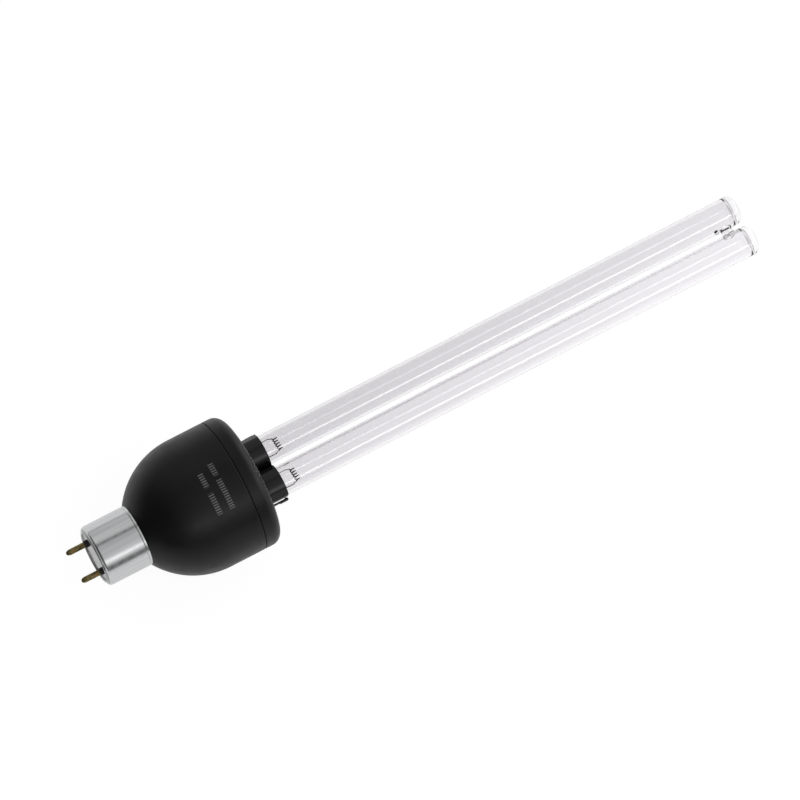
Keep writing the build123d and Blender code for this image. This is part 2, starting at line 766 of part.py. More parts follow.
# Choke bobbin: tube round the middle leg, a flange at each end, rails that stand on the board
# beside the core, and four square pins
bobbin_top_a = core_top_a + choke_yoke + bobbin_play
bobbin_foot_a = core_foot_a - choke_yoke - bobbin_play
tube_w = choke_leg_w + 2 * (bobbin_play + bobbin_wall)
tube_t = choke_core_t + 2 * (bobbin_play + bobbin_wall)
flange_w = choke_leg_w + 2 * (window_w - bobbin_play)
rail_t = choke_pin_up + choke_pin - choke_core_t / 2
with BuildPart() as choke_bobbin:
    with BuildSketch(cross_plane(bobbin_top_a)):
        with Locations((0, choke_up)):
            Rectangle(tube_w, tube_t)
    extrude(amount=bobbin_foot_a - bobbin_top_a)
    with BuildSketch(cross_plane(bobbin_top_a), cross_plane(bobbin_foot_a - bobbin_flange_t)):
        with Locations((0, choke_up)):
            Rectangle(flange_w, 2 * bobbin_half_up)
    extrude(amount=bobbin_flange_t)
    with BuildSketch(cross_plane(bobbin_foot_a)):
        for side in (-1, 1):
            with Locations((0, choke_up + side * (choke_core_t + rail_t + 2 * bobbin_play) / 2)):
                Rectangle(flange_w, rail_t)
    extrude(amount=board_rear_a - bobbin_foot_a)
    with BuildSketch(cross_plane(bobbin_top_a)):
        with Locations((0, choke_up)):
            Rectangle(choke_leg_w + 2 * bobbin_play, choke_core_t + 2 * bobbin_play)
    extrude(amount=bobbin_foot_a - bobbin_top_a, mode=Mode.SUBTRACT)
    with BuildSketch(cross_plane(board_rear_a)):
        with Locations(*choke_legs):
            Rectangle(choke_pin, choke_pin)
    extrude(amount=leg_end_a - board_rear_a)
choke_bobbin.part.label = "choke_bobbin"
export_step(choke_bobbin.part, "parts/choke_bobbin.step")

# Choke winding: the wound wire as one rounded block round the bobbin's tube
winding_start_a = bobbin_top_a + bobbin_flange_t + winding_play
winding_end_a = bobbin_foot_a - bobbin_flange_t - winding_play
winding_w = flange_w - winding_inset
winding_t = 2 * bobbin_half_up - winding_inset
with BuildPart() as choke_winding:
    with BuildSketch(cross_plane(winding_start_a)):
        with Locations((0, choke_up)):
            RectangleRounded(winding_w, winding_t, winding_corner)
            Rectangle(tube_w + 2 * winding_play, tube_t + 2 * winding_play, mode=Mode.SUBTRACT)
    extrude(amount=winding_end_a - winding_start_a)
choke_winding.part.label = "choke_winding"
export_step(choke_winding.part, "parts/choke_winding.step")

# Toroid core: ferrite ring of the drive transformer, lying over the board
toroid_foot_a = board_rear_a - toroid_lift
with BuildPart() as toroid_core:
    with BuildSketch(cross_plane(toroid_foot_a)):
        with Locations((toroid_y, toroid_up)):
            Circle(toroid_r)
            Circle(toroid_hole_r, mode=Mode.SUBTRACT)
    extrude(amount=-toroid_height)
toroid_core.part.label = "toroid_core"
export_step(toroid_core.part, "parts/toroid_core.step")

# Toroid windings: three bands of wire round the ring, each a third of the way round
ring_mid_a = toroid_foot_a - toroid_height / 2
ring_mid_r = (toroid_r + toroid_hole_r) / 2
band_inner_length = toroid_height + 2 * winding_play
band_inner_w = toroid_r - toroid_hole_r + 2 * winding_play
for number in (1, 2, 3):
    turn = radians(360 / 3 * number)
    spoke = Vector(0, cos(turn), 0) + up_dir * sin(turn)
    ring_centre = at(0, toroid_y, toroid_up)
    with BuildPart() as toroid_winding:
        with BuildSketch(Plane(origin=ring_centre, x_dir=axis_dir, z_dir=axis_dir.cross(spoke))):
            with Locations((ring_mid_a, ring_mid_r)):
                Rectangle(band_inner_length + 2 * winding_wire, band_inner_w + 2 * winding_wire)
                Rectangle(band_inner_length, band_inner_w, mode=Mode.SUBTRACT)
        revolve(axis=Axis(ring_centre, axis_dir), revolution_arc=winding_angle)
    toroid_winding.part.label = f"toroid_winding_{number}"
    export_step(toroid_winding.part, f"parts/toroid_winding_{number}.step")

# Transistors: upright moulded bodies with a mounting hole and three flat legs
body_foot_a = board_rear_a - transistor_lift
for number, (body_y, body_up) in enumerate(transistor_spots, start=1):
    with BuildPart() as transistor:
        with BuildSketch(cross_plane(body_foot_a)):
            with Locations((body_y, body_up)):
                Rectangle(transistor_w, transistor_t)
        extrude(amount=-transistor_height)
        with BuildSketch(cross_plane(body_foot_a)):
            with Locations(*[(body_y + leg * transistor_leg_pitch, body_up) for leg in (-1, 0, 1)]):
                Rectangle(transistor_leg, transistor_leg_t)
        extrude(amount=leg_end_a - body_foot_a)
        with BuildSketch(flat_plane(body_up - transistor_t)):
            with Locations((body_foot_a - transistor_height + transistor_hole_back, body_y)):
                Circle(transistor_hole_r)
        extrude(amount=2 * transistor_t, mode=Mode.SUBTRACT)
    transistor.part.label = f"transistor_{number}"
    export_step(transistor.part, f"parts/transistor_{number}.step")

# Film capacitors: upright boxes with soft edges and two legs
for number, side in enumerate((-1, 1), start=1):
    with BuildPart() as film_capacitor:
        with BuildSketch(cross_plane(board_rear_a - can_lift)):
            with Locations((side * film_y, film_up)):
                RectangleRounded(film_w, film_length, film_edge)
        extrude(amount=-film_height)
        with BuildSketch(cross_plane(board_rear_a - can_lift)):
            with Locations(*[(side * film_y, film_up + up) for up in (-film_leg_up, film_leg_up)]):
                Circle(leg_wire_r)
        extrude(amount=leg_end_a - board_rear_a + can_lift)
    film_capacitor.part.label = f"film_capacitor_{number}"
    export_step(film_capacitor.part, f"parts/film_capacitor_{number}.step")


def axial_part(spot_y, spot_up, body_r, body_length, span):
    """A round body lying over the board on one wire, whose ends are bent down through it."""
    body_a = board_rear_a - diode_lift
    wire = wire_along(
        [
            at(leg_end_a, spot_y - span / 2, spot_up),
            at(body_a, spot_y - span / 2, spot_up),
            at(body_a, spot_y + span / 2, spot_up),
            at(leg_end_a, spot_y + span / 2, spot_up),
        ],
        leg_wire_r,
        diode_bend,
    )
    body_end = at(body_a, spot_y - body_length / 2, spot_up)
    with BuildPart() as whole:
        add(wire)
        with BuildSketch(Plane(origin=body_end, z_dir=(0, 1, 0))):
            Circle(body_r)
        extrude(amount=body_length)
    return whole.part


# Rectifier diodes, two at each side, and the fuse resistor below the choke
for number, (spot_y, spot_up) in enumerate(diode_spots, start=1):
    rectifier_diode = axial_part(spot_y, spot_up, diode_r, diode_length, diode_span)
    rectifier_diode.label = f"rectifier_diode_{number}"
    export_step(rectifier_diode, f"parts/rectifier_diode_{number}.step")

fuse_resistor = axial_part(0, fuse_up, fuse_r, fuse_length, fuse_span)
fuse_resistor.label = "fuse_resistor"
export_step(fuse_resistor, "parts/fuse_resistor.step")
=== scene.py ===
import json
import logging
from dataclasses import dataclass
from enum import Enum
from math import asin, cos, degrees, hypot, pi, radians, sin
from typing import Callable, Sequence

import bpy
import bmesh
from mathutils import Matrix, Vector


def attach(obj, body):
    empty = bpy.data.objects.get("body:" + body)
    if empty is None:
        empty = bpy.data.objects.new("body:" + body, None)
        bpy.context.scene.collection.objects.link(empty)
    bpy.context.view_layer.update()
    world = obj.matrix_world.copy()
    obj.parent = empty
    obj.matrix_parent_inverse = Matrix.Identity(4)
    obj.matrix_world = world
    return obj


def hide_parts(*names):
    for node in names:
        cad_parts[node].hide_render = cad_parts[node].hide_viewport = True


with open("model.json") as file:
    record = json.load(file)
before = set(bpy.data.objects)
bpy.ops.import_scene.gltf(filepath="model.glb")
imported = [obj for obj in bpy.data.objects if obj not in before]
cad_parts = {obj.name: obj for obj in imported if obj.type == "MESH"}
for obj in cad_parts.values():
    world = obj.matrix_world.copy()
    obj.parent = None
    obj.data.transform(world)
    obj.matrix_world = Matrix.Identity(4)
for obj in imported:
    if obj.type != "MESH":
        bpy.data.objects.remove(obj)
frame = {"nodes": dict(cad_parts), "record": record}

log = logging.getLogger("compact_uv_lamp")

Piece = bpy.types.Object
Socket = bpy.types.NodeSocket
Point = tuple[float, float]
Test = Callable[[Vector], bool]
Colour = tuple[float, float, float]

MM = 0.001
SMOOTH_ANGLE = radians(32)
GLASS_SMOOTH_ANGLE = radians(60)
SOFT_ANGLE = radians(40)

# In metres: what closing a mesh merges, what mirroring it merges, and how near a cut has to
# come to a point to go through it
MERGE_DISTANCE = 1e-6
HALVES_DISTANCE = 1e-5
CUT_THRESHOLD = 1e-7

# How far from a place, in mm, a point still counts as there: one left as it was made, one on
# a fresh straight cut, one after some moves, and one on a ring of many sides
SAME = 0.001
ON_CUT = 0.002
NEAR = 0.01
ON_RING = 0.02


# The lamp's own lines, and the few moves that every piece is made with


@dataclass(frozen=True)
class LampLines:
    """Where the lamp lies in the row frame.

    In the lamp's own lines x runs along its axis towards the tips, from the joint of cap and
    housing, y runs across both legs of the tube, and z stands up from the axis.
    """

    slope: float = radians(5.466857)
    joint: tuple[float, float, float] = (-0.123187, 0.0, 0.03207644)

    def to_row(self) -> Matrix:
        """Returns the matrix that takes the lamp's own lines to the row frame."""
        return Matrix.Translation(self.joint) @ Matrix.Rotation(self.slope, 4, "Y")

    def point(self, a: float, y: float = 0.0, up: float = 0.0) -> Vector:
        """Returns a point of the row frame from its mm along, across and above the axis."""
        return self.to_row() @ Vector((a * MM, y * MM, up * MM))

    def direction(self, a: float, y: float, up: float) -> Vector:
        """Returns a direction of the row frame from its shares along, across and up."""
        return self.to_row().to_3x3() @ Vector((a, y, up))


LAMP = LampLines()


def let_go() -> None:
    """Leaves edit mode and deselects every object."""
    if bpy.context.object is not None and bpy.context.object.mode != "OBJECT":
        bpy.ops.object.mode_set(mode="OBJECT")
    bpy.ops.object.select_all(action="DESELECT")


def take(piece: Piece) -> None:
    """Makes one object the selected and active one.

    Args:
        piece: The object.
    """
    let_go()
    piece.select_set(True)
    bpy.context.view_layer.objects.active = piece


def pick(test: Test, kind: str = "VERT") -> None:
    """Selects parts of the mesh in edit mode by their place, and nothing else.

    Args:
        test: Says of a point, in mm in the lamp's own lines, whether it is picked. For an edge
            or a face both of its ends or all of its corners have to pass.
        kind: VERT, EDGE or FACE.
    """
    piece = bpy.context.object
    bpy.ops.mesh.select_all(action="DESELECT")
    bpy.ops.mesh.select_mode(type=kind)
    mesh = bmesh.from_edit_mesh(piece.data)
    place = piece.matrix_world
    passed = {v.index: test((place @ v.co) / MM) for v in mesh.verts}
    for part in {"VERT": mesh.verts, "EDGE": mesh.edges, "FACE": mesh.faces}[kind]:
        if all(passed[v.index] for v in ([part] if kind == "VERT" else part.verts)):
            part.select_set(True)
    mesh.select_flush_mode()
    bmesh.update_edit_mesh(piece.data)


def at(a: float, within: float = NEAR) -> Test:
    """Returns a test for points at a place in mm along the axis."""
    return lambda p: abs(p.x - a) < within


def on_ring(y: float, r: float) -> Test:
    """Returns a test for points at a distance in mm from a line beside the axis."""
    return lambda p: abs(hypot(p.y - y, p.z) - r) < ON_RING


def start_ring(
    a: float, y: float, r: float, sides: int, up: float = 0.0, across: bool = False
) -> None:
    """Adds a ring of edges and goes on in edit mode with all that is there selected.

    Args:
        a: Place of its middle along the axis, in mm.
        y: Place of its middle across, in mm.
        r: Its radius, in mm.
        sides: How many sides it has.
        up: Height of its middle over the axis, in mm.
        across: Stands it round a line across the lamp, and not round one along the axis.
    """
    bpy.ops.mesh.primitive_circle_add(
        vertices=sides,
        radius=r * MM,
        location=(a * MM, y * MM, up * MM),
        rotation=(pi / 2, 0, 0) if across else (0, pi / 2, 0),
    )
    if bpy.context.object.mode != "EDIT":
        bpy.ops.object.mode_set(mode="EDIT")
    bpy.ops.mesh.select_mode(type="EDGE")
    bpy.ops.mesh.select_all(action="SELECT")


def draw_out(run: float, across: float = 0.0) -> None:
    """Extrudes the selected edges or faces by distances in mm along the axis and across."""
    bpy.ops.mesh.extrude_region_move(
        TRANSFORM_OT_translate={"value": (run * MM, across * MM, 0)}
    )


def widen(a: float, y: float, across: float, up: float) -> None:
    """Scales the selection across the axis.

    Args:
        a: Place along the axis, in mm.
        y: Place across about which it is scaled, in mm.
        across: Factor along y.
        up: Factor along z.
    """
    bpy.ops.transform.resize(value=(1, across, up), center_override=(a * MM, y * MM, 0))


def draw_rings(rings: Sequence[tuple[float, float, float]], y: float) -> None:
    """Draws the selected ring out along the axis, from ring to ring.

    Args:
        rings: Place along the axis, reach across and reach up of each, in mm, the selected first.
        y: Place across of the line that they stand round, in mm.
    """
    for (a, across, up), (next_a, next_across, next_up) in zip(rings, rings[1:]):
        draw_out(next_a - a)
        widen(next_a, y, next_across / across, next_up / up)


def cut(point: Sequence[float], normal: Sequence[float], **clear: bool) -> None:
    """Cuts through the selection in edit mode.

    Args:
        point: A point of the cut's plane, in metres.
        normal: The direction that the plane faces.
        **clear: clear_inner or clear_outer, which deletes that side.
    """
    bpy.ops.mesh.bisect(plane_co=point, plane_no=normal, threshold=CUT_THRESHOLD, **clear)


def arc(centre: Point, reach: Point, start: float, end: float, steps: int) -> list[Point]:
    """Gives points on an arc of an outline.

    Args:
        centre: Place along the axis and distance from it, in mm.
        reach: Radius along the axis and radius away from it, in mm.
        start: First angle in degrees, from the direction of the tips towards the outside.
        end: Last angle in degrees.
        steps: How many runs the arc is divided into.

    Returns:
        The points in order, both ends among them.
    """
    turns = [radians(start + (end - start) * i / steps) for i in range(steps + 1)]
    return [(centre[0] + reach[0] * cos(t), centre[1] + reach[1] * sin(t)) for t in turns]


def angle_at(height: float, radius: float) -> float:
    """Returns the angle in degrees whose sine is height over radius."""
    return degrees(asin(height / radius))


def close_up(name: str, smooth: float = SMOOTH_ANGLE) -> Piece:
    """Merges doubles of the mesh in edit mode, turns its faces outwards and shades it.

    Args:
        name: The piece's name.
        smooth: Angle up to which two faces shade as one surface.

    Returns:
        The object, unturned and unscaled in the lamp's own lines.
    """
    bpy.ops.mesh.select_all(action="SELECT")
    bpy.ops.mesh.remove_doubles(threshold=MERGE_DISTANCE)
    bpy.ops.mesh.select_all(action="SELECT")
    bpy.ops.mesh.normals_make_consistent(inside=False)
    bpy.ops.object.mode_set(mode="OBJECT")
    piece = bpy.context.object
    piece.name = name
    take(piece)
    bpy.ops.object.transform_apply()
    bpy.ops.object.shade_smooth_by_angle(angle=smooth)
    return piece


def turned(
    name: str, outline: Sequence[Point], y: float = 0.0, sides: int = 96, whole_ring: bool = False
) -> Piece:
    """Turns a piece ring by ring about the lamp's axis, or about a line beside it.

    Args:
        name: The piece's name.
        outline: Place along the axis and radius of each ring, in mm.
        y: How far the line lies beside the axis, in mm.
        sides: How many sides each ring has.
        whole_ring: The outline comes back to its start, so that the piece is a shell. Otherwise
            both ends are closed with a face.

    Returns:
        The turned object.
    """
    let_go()
    start_ring(outline[0][0], y, outline[0][1], sides)
    if not whole_ring:
        bpy.ops.mesh.edge_face_add()
    rings = [*outline, outline[0]] if whole_ring else outline
    draw_rings([(a, r, r) for a, r in rings], y)
    return close_up(name)


def turned_across(
    name: str, stations: Sequence[Point], a: float, up: float = 0.0, sides: int = 48
) -> Piece:
    """Turns a glass solid ring by ring about a line across the lamp.

    Args:
        name: The solid's name.
        stations: Place across and radius of each ring, in mm.
        a: Place of the line along the axis, in mm.
        up: Its height over the axis, in mm.
        sides: How many sides each ring has.

    Returns:
        The turned object.
    """
    let_go()
    y, r = stations[0]
    start_ring(a, y, r, sides, up, across=True)
    bpy.ops.mesh.edge_face_add()
    for next_y, next_r in stations[1:]:
        draw_out(0, next_y - y)
        bpy.ops.transform.resize(
            value=(next_r / r, 1, next_r / r), center_override=(a * MM, next_y * MM, up * MM)
        )
        y, r = next_y, next_r
    return close_up(name, GLASS_SMOOTH_ANGLE)


def shape_with(piece: Piece, tool: Piece, how: str) -> None:
    """Joins or cuts a piece with another by a boolean modifier, which is applied.

    Args:
        piece: The piece that is changed.
        tool: The other solid, which is used up.
        how: UNION or DIFFERENCE.
    """
    take(piece)
    change = piece.modifiers.new(how.lower(), "BOOLEAN")
    change.operation = how
    change.solver = "EXACT"
    change.object = tool
    bpy.ops.object.modifier_apply(modifier=change.name)
    bpy.data.objects.remove(tool)


def soften_edges(piece: Piece, width: float, segments: int = 2) -> None:
    """Rounds a piece's sharp edges with a bevel modifier, which is applied.

    Args:
        piece: The piece that is changed.
        width: Width of the rounding, in mm.
        segments: How many faces the rounding has.
    """
    take(piece)
    rounding = piece.modifiers.new("rounding", "BEVEL")
    rounding.width = width * MM
    rounding.segments = segments
    rounding.limit_method = "ANGLE"
    rounding.angle_limit = SOFT_ANGLE
    rounding.use_clamp_overlap = True
    bpy.ops.object.modifier_apply(modifier=rounding.name)
    bpy.ops.object.shade_smooth_by_angle(angle=SMOOTH_ANGLE)


def copy_across(piece: Piece, name: str, shift: float) -> Piece:
    """Copies a piece with its own mesh and moves the copy across the lamp.

    Args:
        piece: The piece to copy.
        name: The copy's name.
        shift: Distance along y, in mm.

    Returns:
        The copy.
    """
    take(piece)
    bpy.ops.object.duplicate(linked=False)
    copy = bpy.context.object
    copy.name = name
    bpy.ops.transform.translate(value=(0, shift * MM, 0))
    bpy.ops.object.transform_apply()
    return copy


def placed(place: Vector, x: Vector, y: Vector, z: Vector) -> Matrix:
    """Returns the matrix that puts something at a place with its own axes turned as given."""
    return Matrix.Translation(place) @ Matrix((x, y, z)).transposed().to_4x4()


# Finishes


class Wiring:
    """The node tree of a material or of the world, and short ways to fill it."""

    def __init__(self, owner: bpy.types.Material | bpy.types.World) -> None:
        """Starts with the owner's tree emptied.

        Args:
            owner: The material or the world.
        """
        owner.use_nodes = True
        self.tree = owner.node_tree
        self.tree.nodes.clear()

    def node(self, kind: str, **values: object) -> bpy.types.Node:
        """Adds a shader node and sets its properties.

        Args:
            kind: The node's type name, behind the words that all of them start with.
            **values: Properties of the node.

        Returns:
            The node.
        """
        made = self.tree.nodes.new(f"ShaderNode{kind}")
        for key, value in values.items():
            setattr(made, key, value)
        return made

    def feed(self, place: Socket, value: Socket | float | Sequence[float]) -> None:
        """Links an input to another socket, or sets its constant.

        Args:
            place: The input.
            value: The socket or the constant.
        """
        if isinstance(value, Socket):
            self.tree.links.new(value, place)
        else:
            place.default_value = value

    def apart(self, place: Socket) -> bpy.types.NodeOutputs:
        """Splits a place or direction.

        Args:
            place: The socket of the place or direction.

        Returns:
            Its sockets X, Y and Z.
        """
        split = self.node("SeparateXYZ")
        self.feed(split.inputs[0], place)
        return split.outputs

    def math(self, how: str, *values: Socket | float) -> Socket:
        """Calculates with values.

        Args:
            how: The calculation's name.
            *values: Up to three sockets or numbers.

        Returns:
            The socket of the result.
        """
        sum_node = self.node("Math", operation=how)
        for place, value in zip(sum_node.inputs, values):
            self.feed(place, value)
        return sum_node.outputs[0]

    def ranged(
        self,
        value: Socket,
        low: float,
        high: float,
        start: float = 0.3,
        end: float = 0.7,
        **how: str,
    ) -> Socket:
        """Maps a value to a range.

        Args:
            value: The value.
            low: Result at the start.
            high: Result at the end.
            start: Value that gives the low result.
            end: Value that gives the high result.
            **how: Properties of the node.

        Returns:
            The socket of the result.
        """
        to = self.node("MapRange", **how)
        keys = ("Value", "From Min", "From Max", "To Min", "To Max")
        for key, given in zip(keys, (value, start, end, low, high)):
            self.feed(to.inputs[key], given)
        return to.outputs["Result"]

    def blend(self, share: Socket, stops: Sequence[tuple[float, Colour]]) -> Socket:
        """Turns a value into a colour by a ramp.

        Args:
            share: The value.
            stops: Place of each stop and its colour.

        Returns:
            The socket of the colour.
        """
        ramp = self.node("ValToRGB")
        while len(ramp.color_ramp.elements) < len(stops):
            ramp.color_ramp.elements.new(0.5)
        for element, (place, colour) in zip(ramp.color_ramp.elements, stops):
            element.position = place
            element.color = (*colour, 1.0)
        self.feed(ramp.inputs["Fac"], share)
        return ramp.outputs["Color"]

    def end(self, output: str, share: Socket, *shaders: bpy.types.Node) -> None:
        """Mixes two shaders and ends the tree with them.

        Args:
            output: Type name of the output node.
            share: How much of the second shader there is.
            *shaders: Both shaders.
        """
        mix = self.node("MixShader")
        for place, value in zip(mix.inputs, (share, *(s.outputs[0] for s in shaders))):
            self.feed(place, value)
        self.feed(self.node(output).inputs["Surface"], mix.outputs[0])


class Bench(Wiring):
    """The node tree of one piece's material, with the lamp's own lines in millimetres at hand."""

    def __init__(self, name: str) -> None:
        """Starts a material.

        Args:
            name: The material's name.
        """
        self.material = bpy.data.materials.new(name)
        super().__init__(self.material)
        self.shader = self.node("BsdfPrincipled")
        self.feed(self.node("OutputMaterial").inputs["Surface"], self.shader.outputs[0])
        turn = Matrix.Rotation(-LAMP.slope, 3, "Y")
        lines = self.node("Mapping")
        self.feed(lines.inputs["Scale"], (1 / MM,) * 3)
        self.feed(lines.inputs["Rotation"], turn.to_euler())
        self.feed(lines.inputs["Location"], turn @ Vector(LAMP.joint) * (-1 / MM))
        self.feed(lines.inputs["Vector"], self.node("TexCoord").outputs["Object"])
        self.lines = lines.outputs[0]

    def set(self, **values: Socket | float | Sequence[float]) -> None:
        """Feeds the shader's own inputs, named with _ for a space."""
        for key, value in values.items():
            self.feed(self.shader.inputs[key.replace("_", " ")], value)

    def stretched(self, along: float, across: float) -> Socket:
        """Gives the lamp's own lines with their own scale along and across the axis.

        Args:
            along: Factor along the axis.
            across: Factor across it.

        Returns:
            The socket of the scaled place.
        """
        scaled = self.node("Mapping")
        self.feed(scaled.inputs["Scale"], (along, across, across))
        self.feed(scaled.inputs["Vector"], self.lines)
        return scaled.outputs[0]

    def noise(self, grain: float, detail: float = 3.0, where: Socket | None = None) -> Socket:
        """Adds a noise pattern.

        Args:
            grain: Size of its patches, in mm.
            detail: How much finer detail it has.
            where: Place that it reads, or else the lamp's own lines.

        Returns:
            The socket of its value, from 0 to 1.
        """
        pattern = self.node("TexNoise")
        self.feed(pattern.inputs["Scale"], 1 / grain)
        self.feed(pattern.inputs["Detail"], detail)
        self.feed(pattern.inputs["Vector"], where or self.lines)
        return pattern.outputs["Fac"]

    def bands(self, pitch: float, way: str, distortion: float = 0.0) -> Socket:
        """Adds a pattern of bands.

        Args:
            pitch: Scale of the bands, in mm.
            way: The line along which they follow each other.
            distortion: How crooked they are.

        Returns:
            The socket of its value, from 0 to 1.
        """
        pattern = self.node("TexWave", bands_direction=way)
        self.feed(pattern.inputs["Scale"], 1 / pitch)
        self.feed(pattern.inputs["Distortion"], distortion)
        self.feed(pattern.inputs["Vector"], self.lines)
        return pattern.outputs["Fac"]

    def paint_shade(self, tone: Socket, share: Socket) -> Socket:
        """Multiplies a colour by a factor, to paint shade into it.

        Args:
            tone: The colour.
            share: The factor.

        Returns:
            The socket of the product.
        """
        shade_product = self.node("VectorMath", operation="SCALE")
        self.feed(shade_product.inputs[0], tone)
        self.feed(shade_product.inputs["Scale"], share)
        return shade_product.outputs[0]

    def relief(self, height: Socket, depth: float, strength: float = 1.0) -> None:
        """Gives the surface a relief.

        Args:
            height: The pattern's value.
            depth: Height of the relief, in mm.
            strength: How much of it shows.
        """
        bump = self.node("Bump")
        self.feed(bump.inputs["Strength"], strength)
        self.feed(bump.inputs["Distance"], depth * MM)
        self.feed(bump.inputs["Height"], height)
        self.set(Normal=bump.outputs["Normal"])


class Finish:
    """What all finishes share: each paints a material on its bench."""

    def material(self, name: str) -> bpy.types.Material:
        """Makes the finished material.

        Args:
            name: The material's name.

        Returns:
            The material.
        """
        bench = Bench(name)
        self.paint(bench)
        return bench.material

    def paint(self, bench: Bench) -> None:
        """Fills a material's bench, in each finish's own way."""
        raise NotImplementedError


@dataclass(frozen=True)
class MouldedPlastic(Finish):
    """Plastic from a mould: a fine even grain, faint clouds in its colour, a satin or glossy
    skin."""

    colour: Colour
    roughness: float
    grain: float = 0.35
    grain_depth: float = 0.012
    cloud: float = 0.25
    gloss: float = 0.5

    def paint(self, bench: Bench) -> None:
        """Fills a material's bench.

        Args:
            bench: The bench.
        """
        skin = bench.ranged(bench.noise(4.0, 5.0), self.roughness * 0.88, self.roughness * 1.12)
        bench.set(Base_Color=self.tone(bench), Roughness=skin, Specular_IOR_Level=self.gloss)
        bench.relief(bench.noise(self.grain, 2.0), self.grain_depth)

    def tone(self, bench: Bench) -> Socket:
        """Gives the colour in faint clouds.

        Args:
            bench: The material's bench.

        Returns:
            The socket of the colour.
        """
        dark = tuple(c * (1 - self.cloud) for c in self.colour)
        light = tuple(c * (1 + self.cloud) for c in self.colour)
        return bench.blend(bench.noise(9.0, 4.0), [(0.3, dark), (0.7, light)])


@dataclass(frozen=True)
class PrintedPlastic(MouldedPlastic):
    """Moulded plastic with rows of short plain strokes in grey ink, in place of the lamp's print.

    Each row is given by its first and last place along the axis, in mm, and by its first and
    last angle round it, in degrees from the top towards the -y side.
    """

    ink: Colour = (0.13, 0.13, 0.13)
    strokes: float = 27.0
    stroke_half: float = 0.26
    rows: tuple[tuple[float, float, float, float], ...] = (
        (27.7, 29.9, -6.0, 7.0),
        (27.7, 29.9, 12.0, 31.0),
        (33.2, 35.4, -11.0, 1.0),
        (33.2, 35.4, 5.0, 31.0),
    )

    def tone(self, bench: Bench) -> Socket:
        """Gives the colour, with the ink where a row of strokes lies.

        Args:
            bench: The material's bench.

        Returns:
            The socket of the colour.
        """
        apart = bench.apart(bench.lines)
        turn = bench.math("ARCTAN2", bench.math("MULTIPLY", apart["Y"], -1.0), apart["Z"])
        beat = bench.math("FRACT", bench.math("MULTIPLY", turn, self.strokes))
        stroke = bench.math("COMPARE", beat, 0.5, self.stroke_half)
        mask = bench.math("MULTIPLY", turn, 0.0)
        for low, high, first, last in self.rows:
            near = bench.math("COMPARE", apart["X"], (low + high) / 2, (high - low) / 2)
            middle, half = radians(first + last) / 2, radians(last - first) / 2
            beside = bench.math("COMPARE", turn, middle, half)
            mask = bench.math("MAXIMUM", mask, bench.math("MULTIPLY", near, beside))
        worn = bench.ranged(bench.noise(0.8, 3.0), 0.55, 1.0)
        mix = bench.node("Mix", data_type="RGBA")
        shown = bench.math("MULTIPLY", bench.math("MULTIPLY", mask, stroke), worn)
        values = {"Factor": shown, "A": super().tone(bench), "B": (*self.ink, 1.0)}
        for key, value in values.items():
            bench.feed(mix.inputs[key], value)
        return mix.outputs["Result"]


@dataclass(frozen=True)
class DrawnMetal(Finish):
    """Thin metal drawn in a press: streaks along the axis, a little mottled by handling, and
    painted shade that darkens the end face."""

    dark: Colour
    light: Colour
    roughness: float
    end_a: float = -18.7
    end_fade: float = 0.1
    end_painted_shade: float = 0.55
    streak: float = 1.1
    streak_run: float = 0.03
    streak_depth: float = 0.0025

    def paint(self, bench: Bench) -> None:
        """Fills a material's bench.

        Args:
            bench: The bench.
        """
        along = bench.stretched(self.streak_run, 1.0)
        stops = [(0.34, self.dark), (0.62, self.light)]
        tone = bench.blend(bench.noise(self.streak, 4.0, along), stops)
        # Painted shade: the colour is darkened past end_a, over the recessed end face and the outer
        # half of the rolled bead.
        start, end = self.end_a - self.end_fade, self.end_a + self.end_fade
        shade = bench.ranged(bench.apart(bench.lines)["X"], self.end_painted_shade, 1.0, start, end)
        skin = bench.ranged(bench.noise(2.2, 5.0), self.roughness * 0.75, self.roughness * 1.3)
        bench.set(Base_Color=bench.paint_shade(tone, shade), Metallic=1.0, Roughness=skin)
        bench.relief(bench.noise(self.streak * 0.4, 3.0, along), self.streak_depth)


@dataclass(frozen=True)
class TarnishedBrass(Finish):
    """Turned brass gone brown, with rubbed yellow places and a few reddish spots."""

    brass: Colour
    brown: Colour
    spot: Colour
    roughness: float = 0.34

    def paint(self, bench: Bench) -> None:
        """Fills a material's bench.

        Args:
            bench: The bench.
        """
        stops = [(0.36, self.brown), (0.52, self.brass), (0.66, self.brass), (0.74, self.spot)]
        skin = bench.ranged(bench.noise(0.8, 4.0), self.roughness * 0.7, self.roughness * 1.4)
        tone = bench.blend(bench.noise(1.3, 4.0), stops)
        bench.set(Base_Color=tone, Metallic=1.0, Roughness=skin)
        bench.relief(bench.noise(0.22, 2.0, bench.stretched(3.0, 0.4)), 0.01)


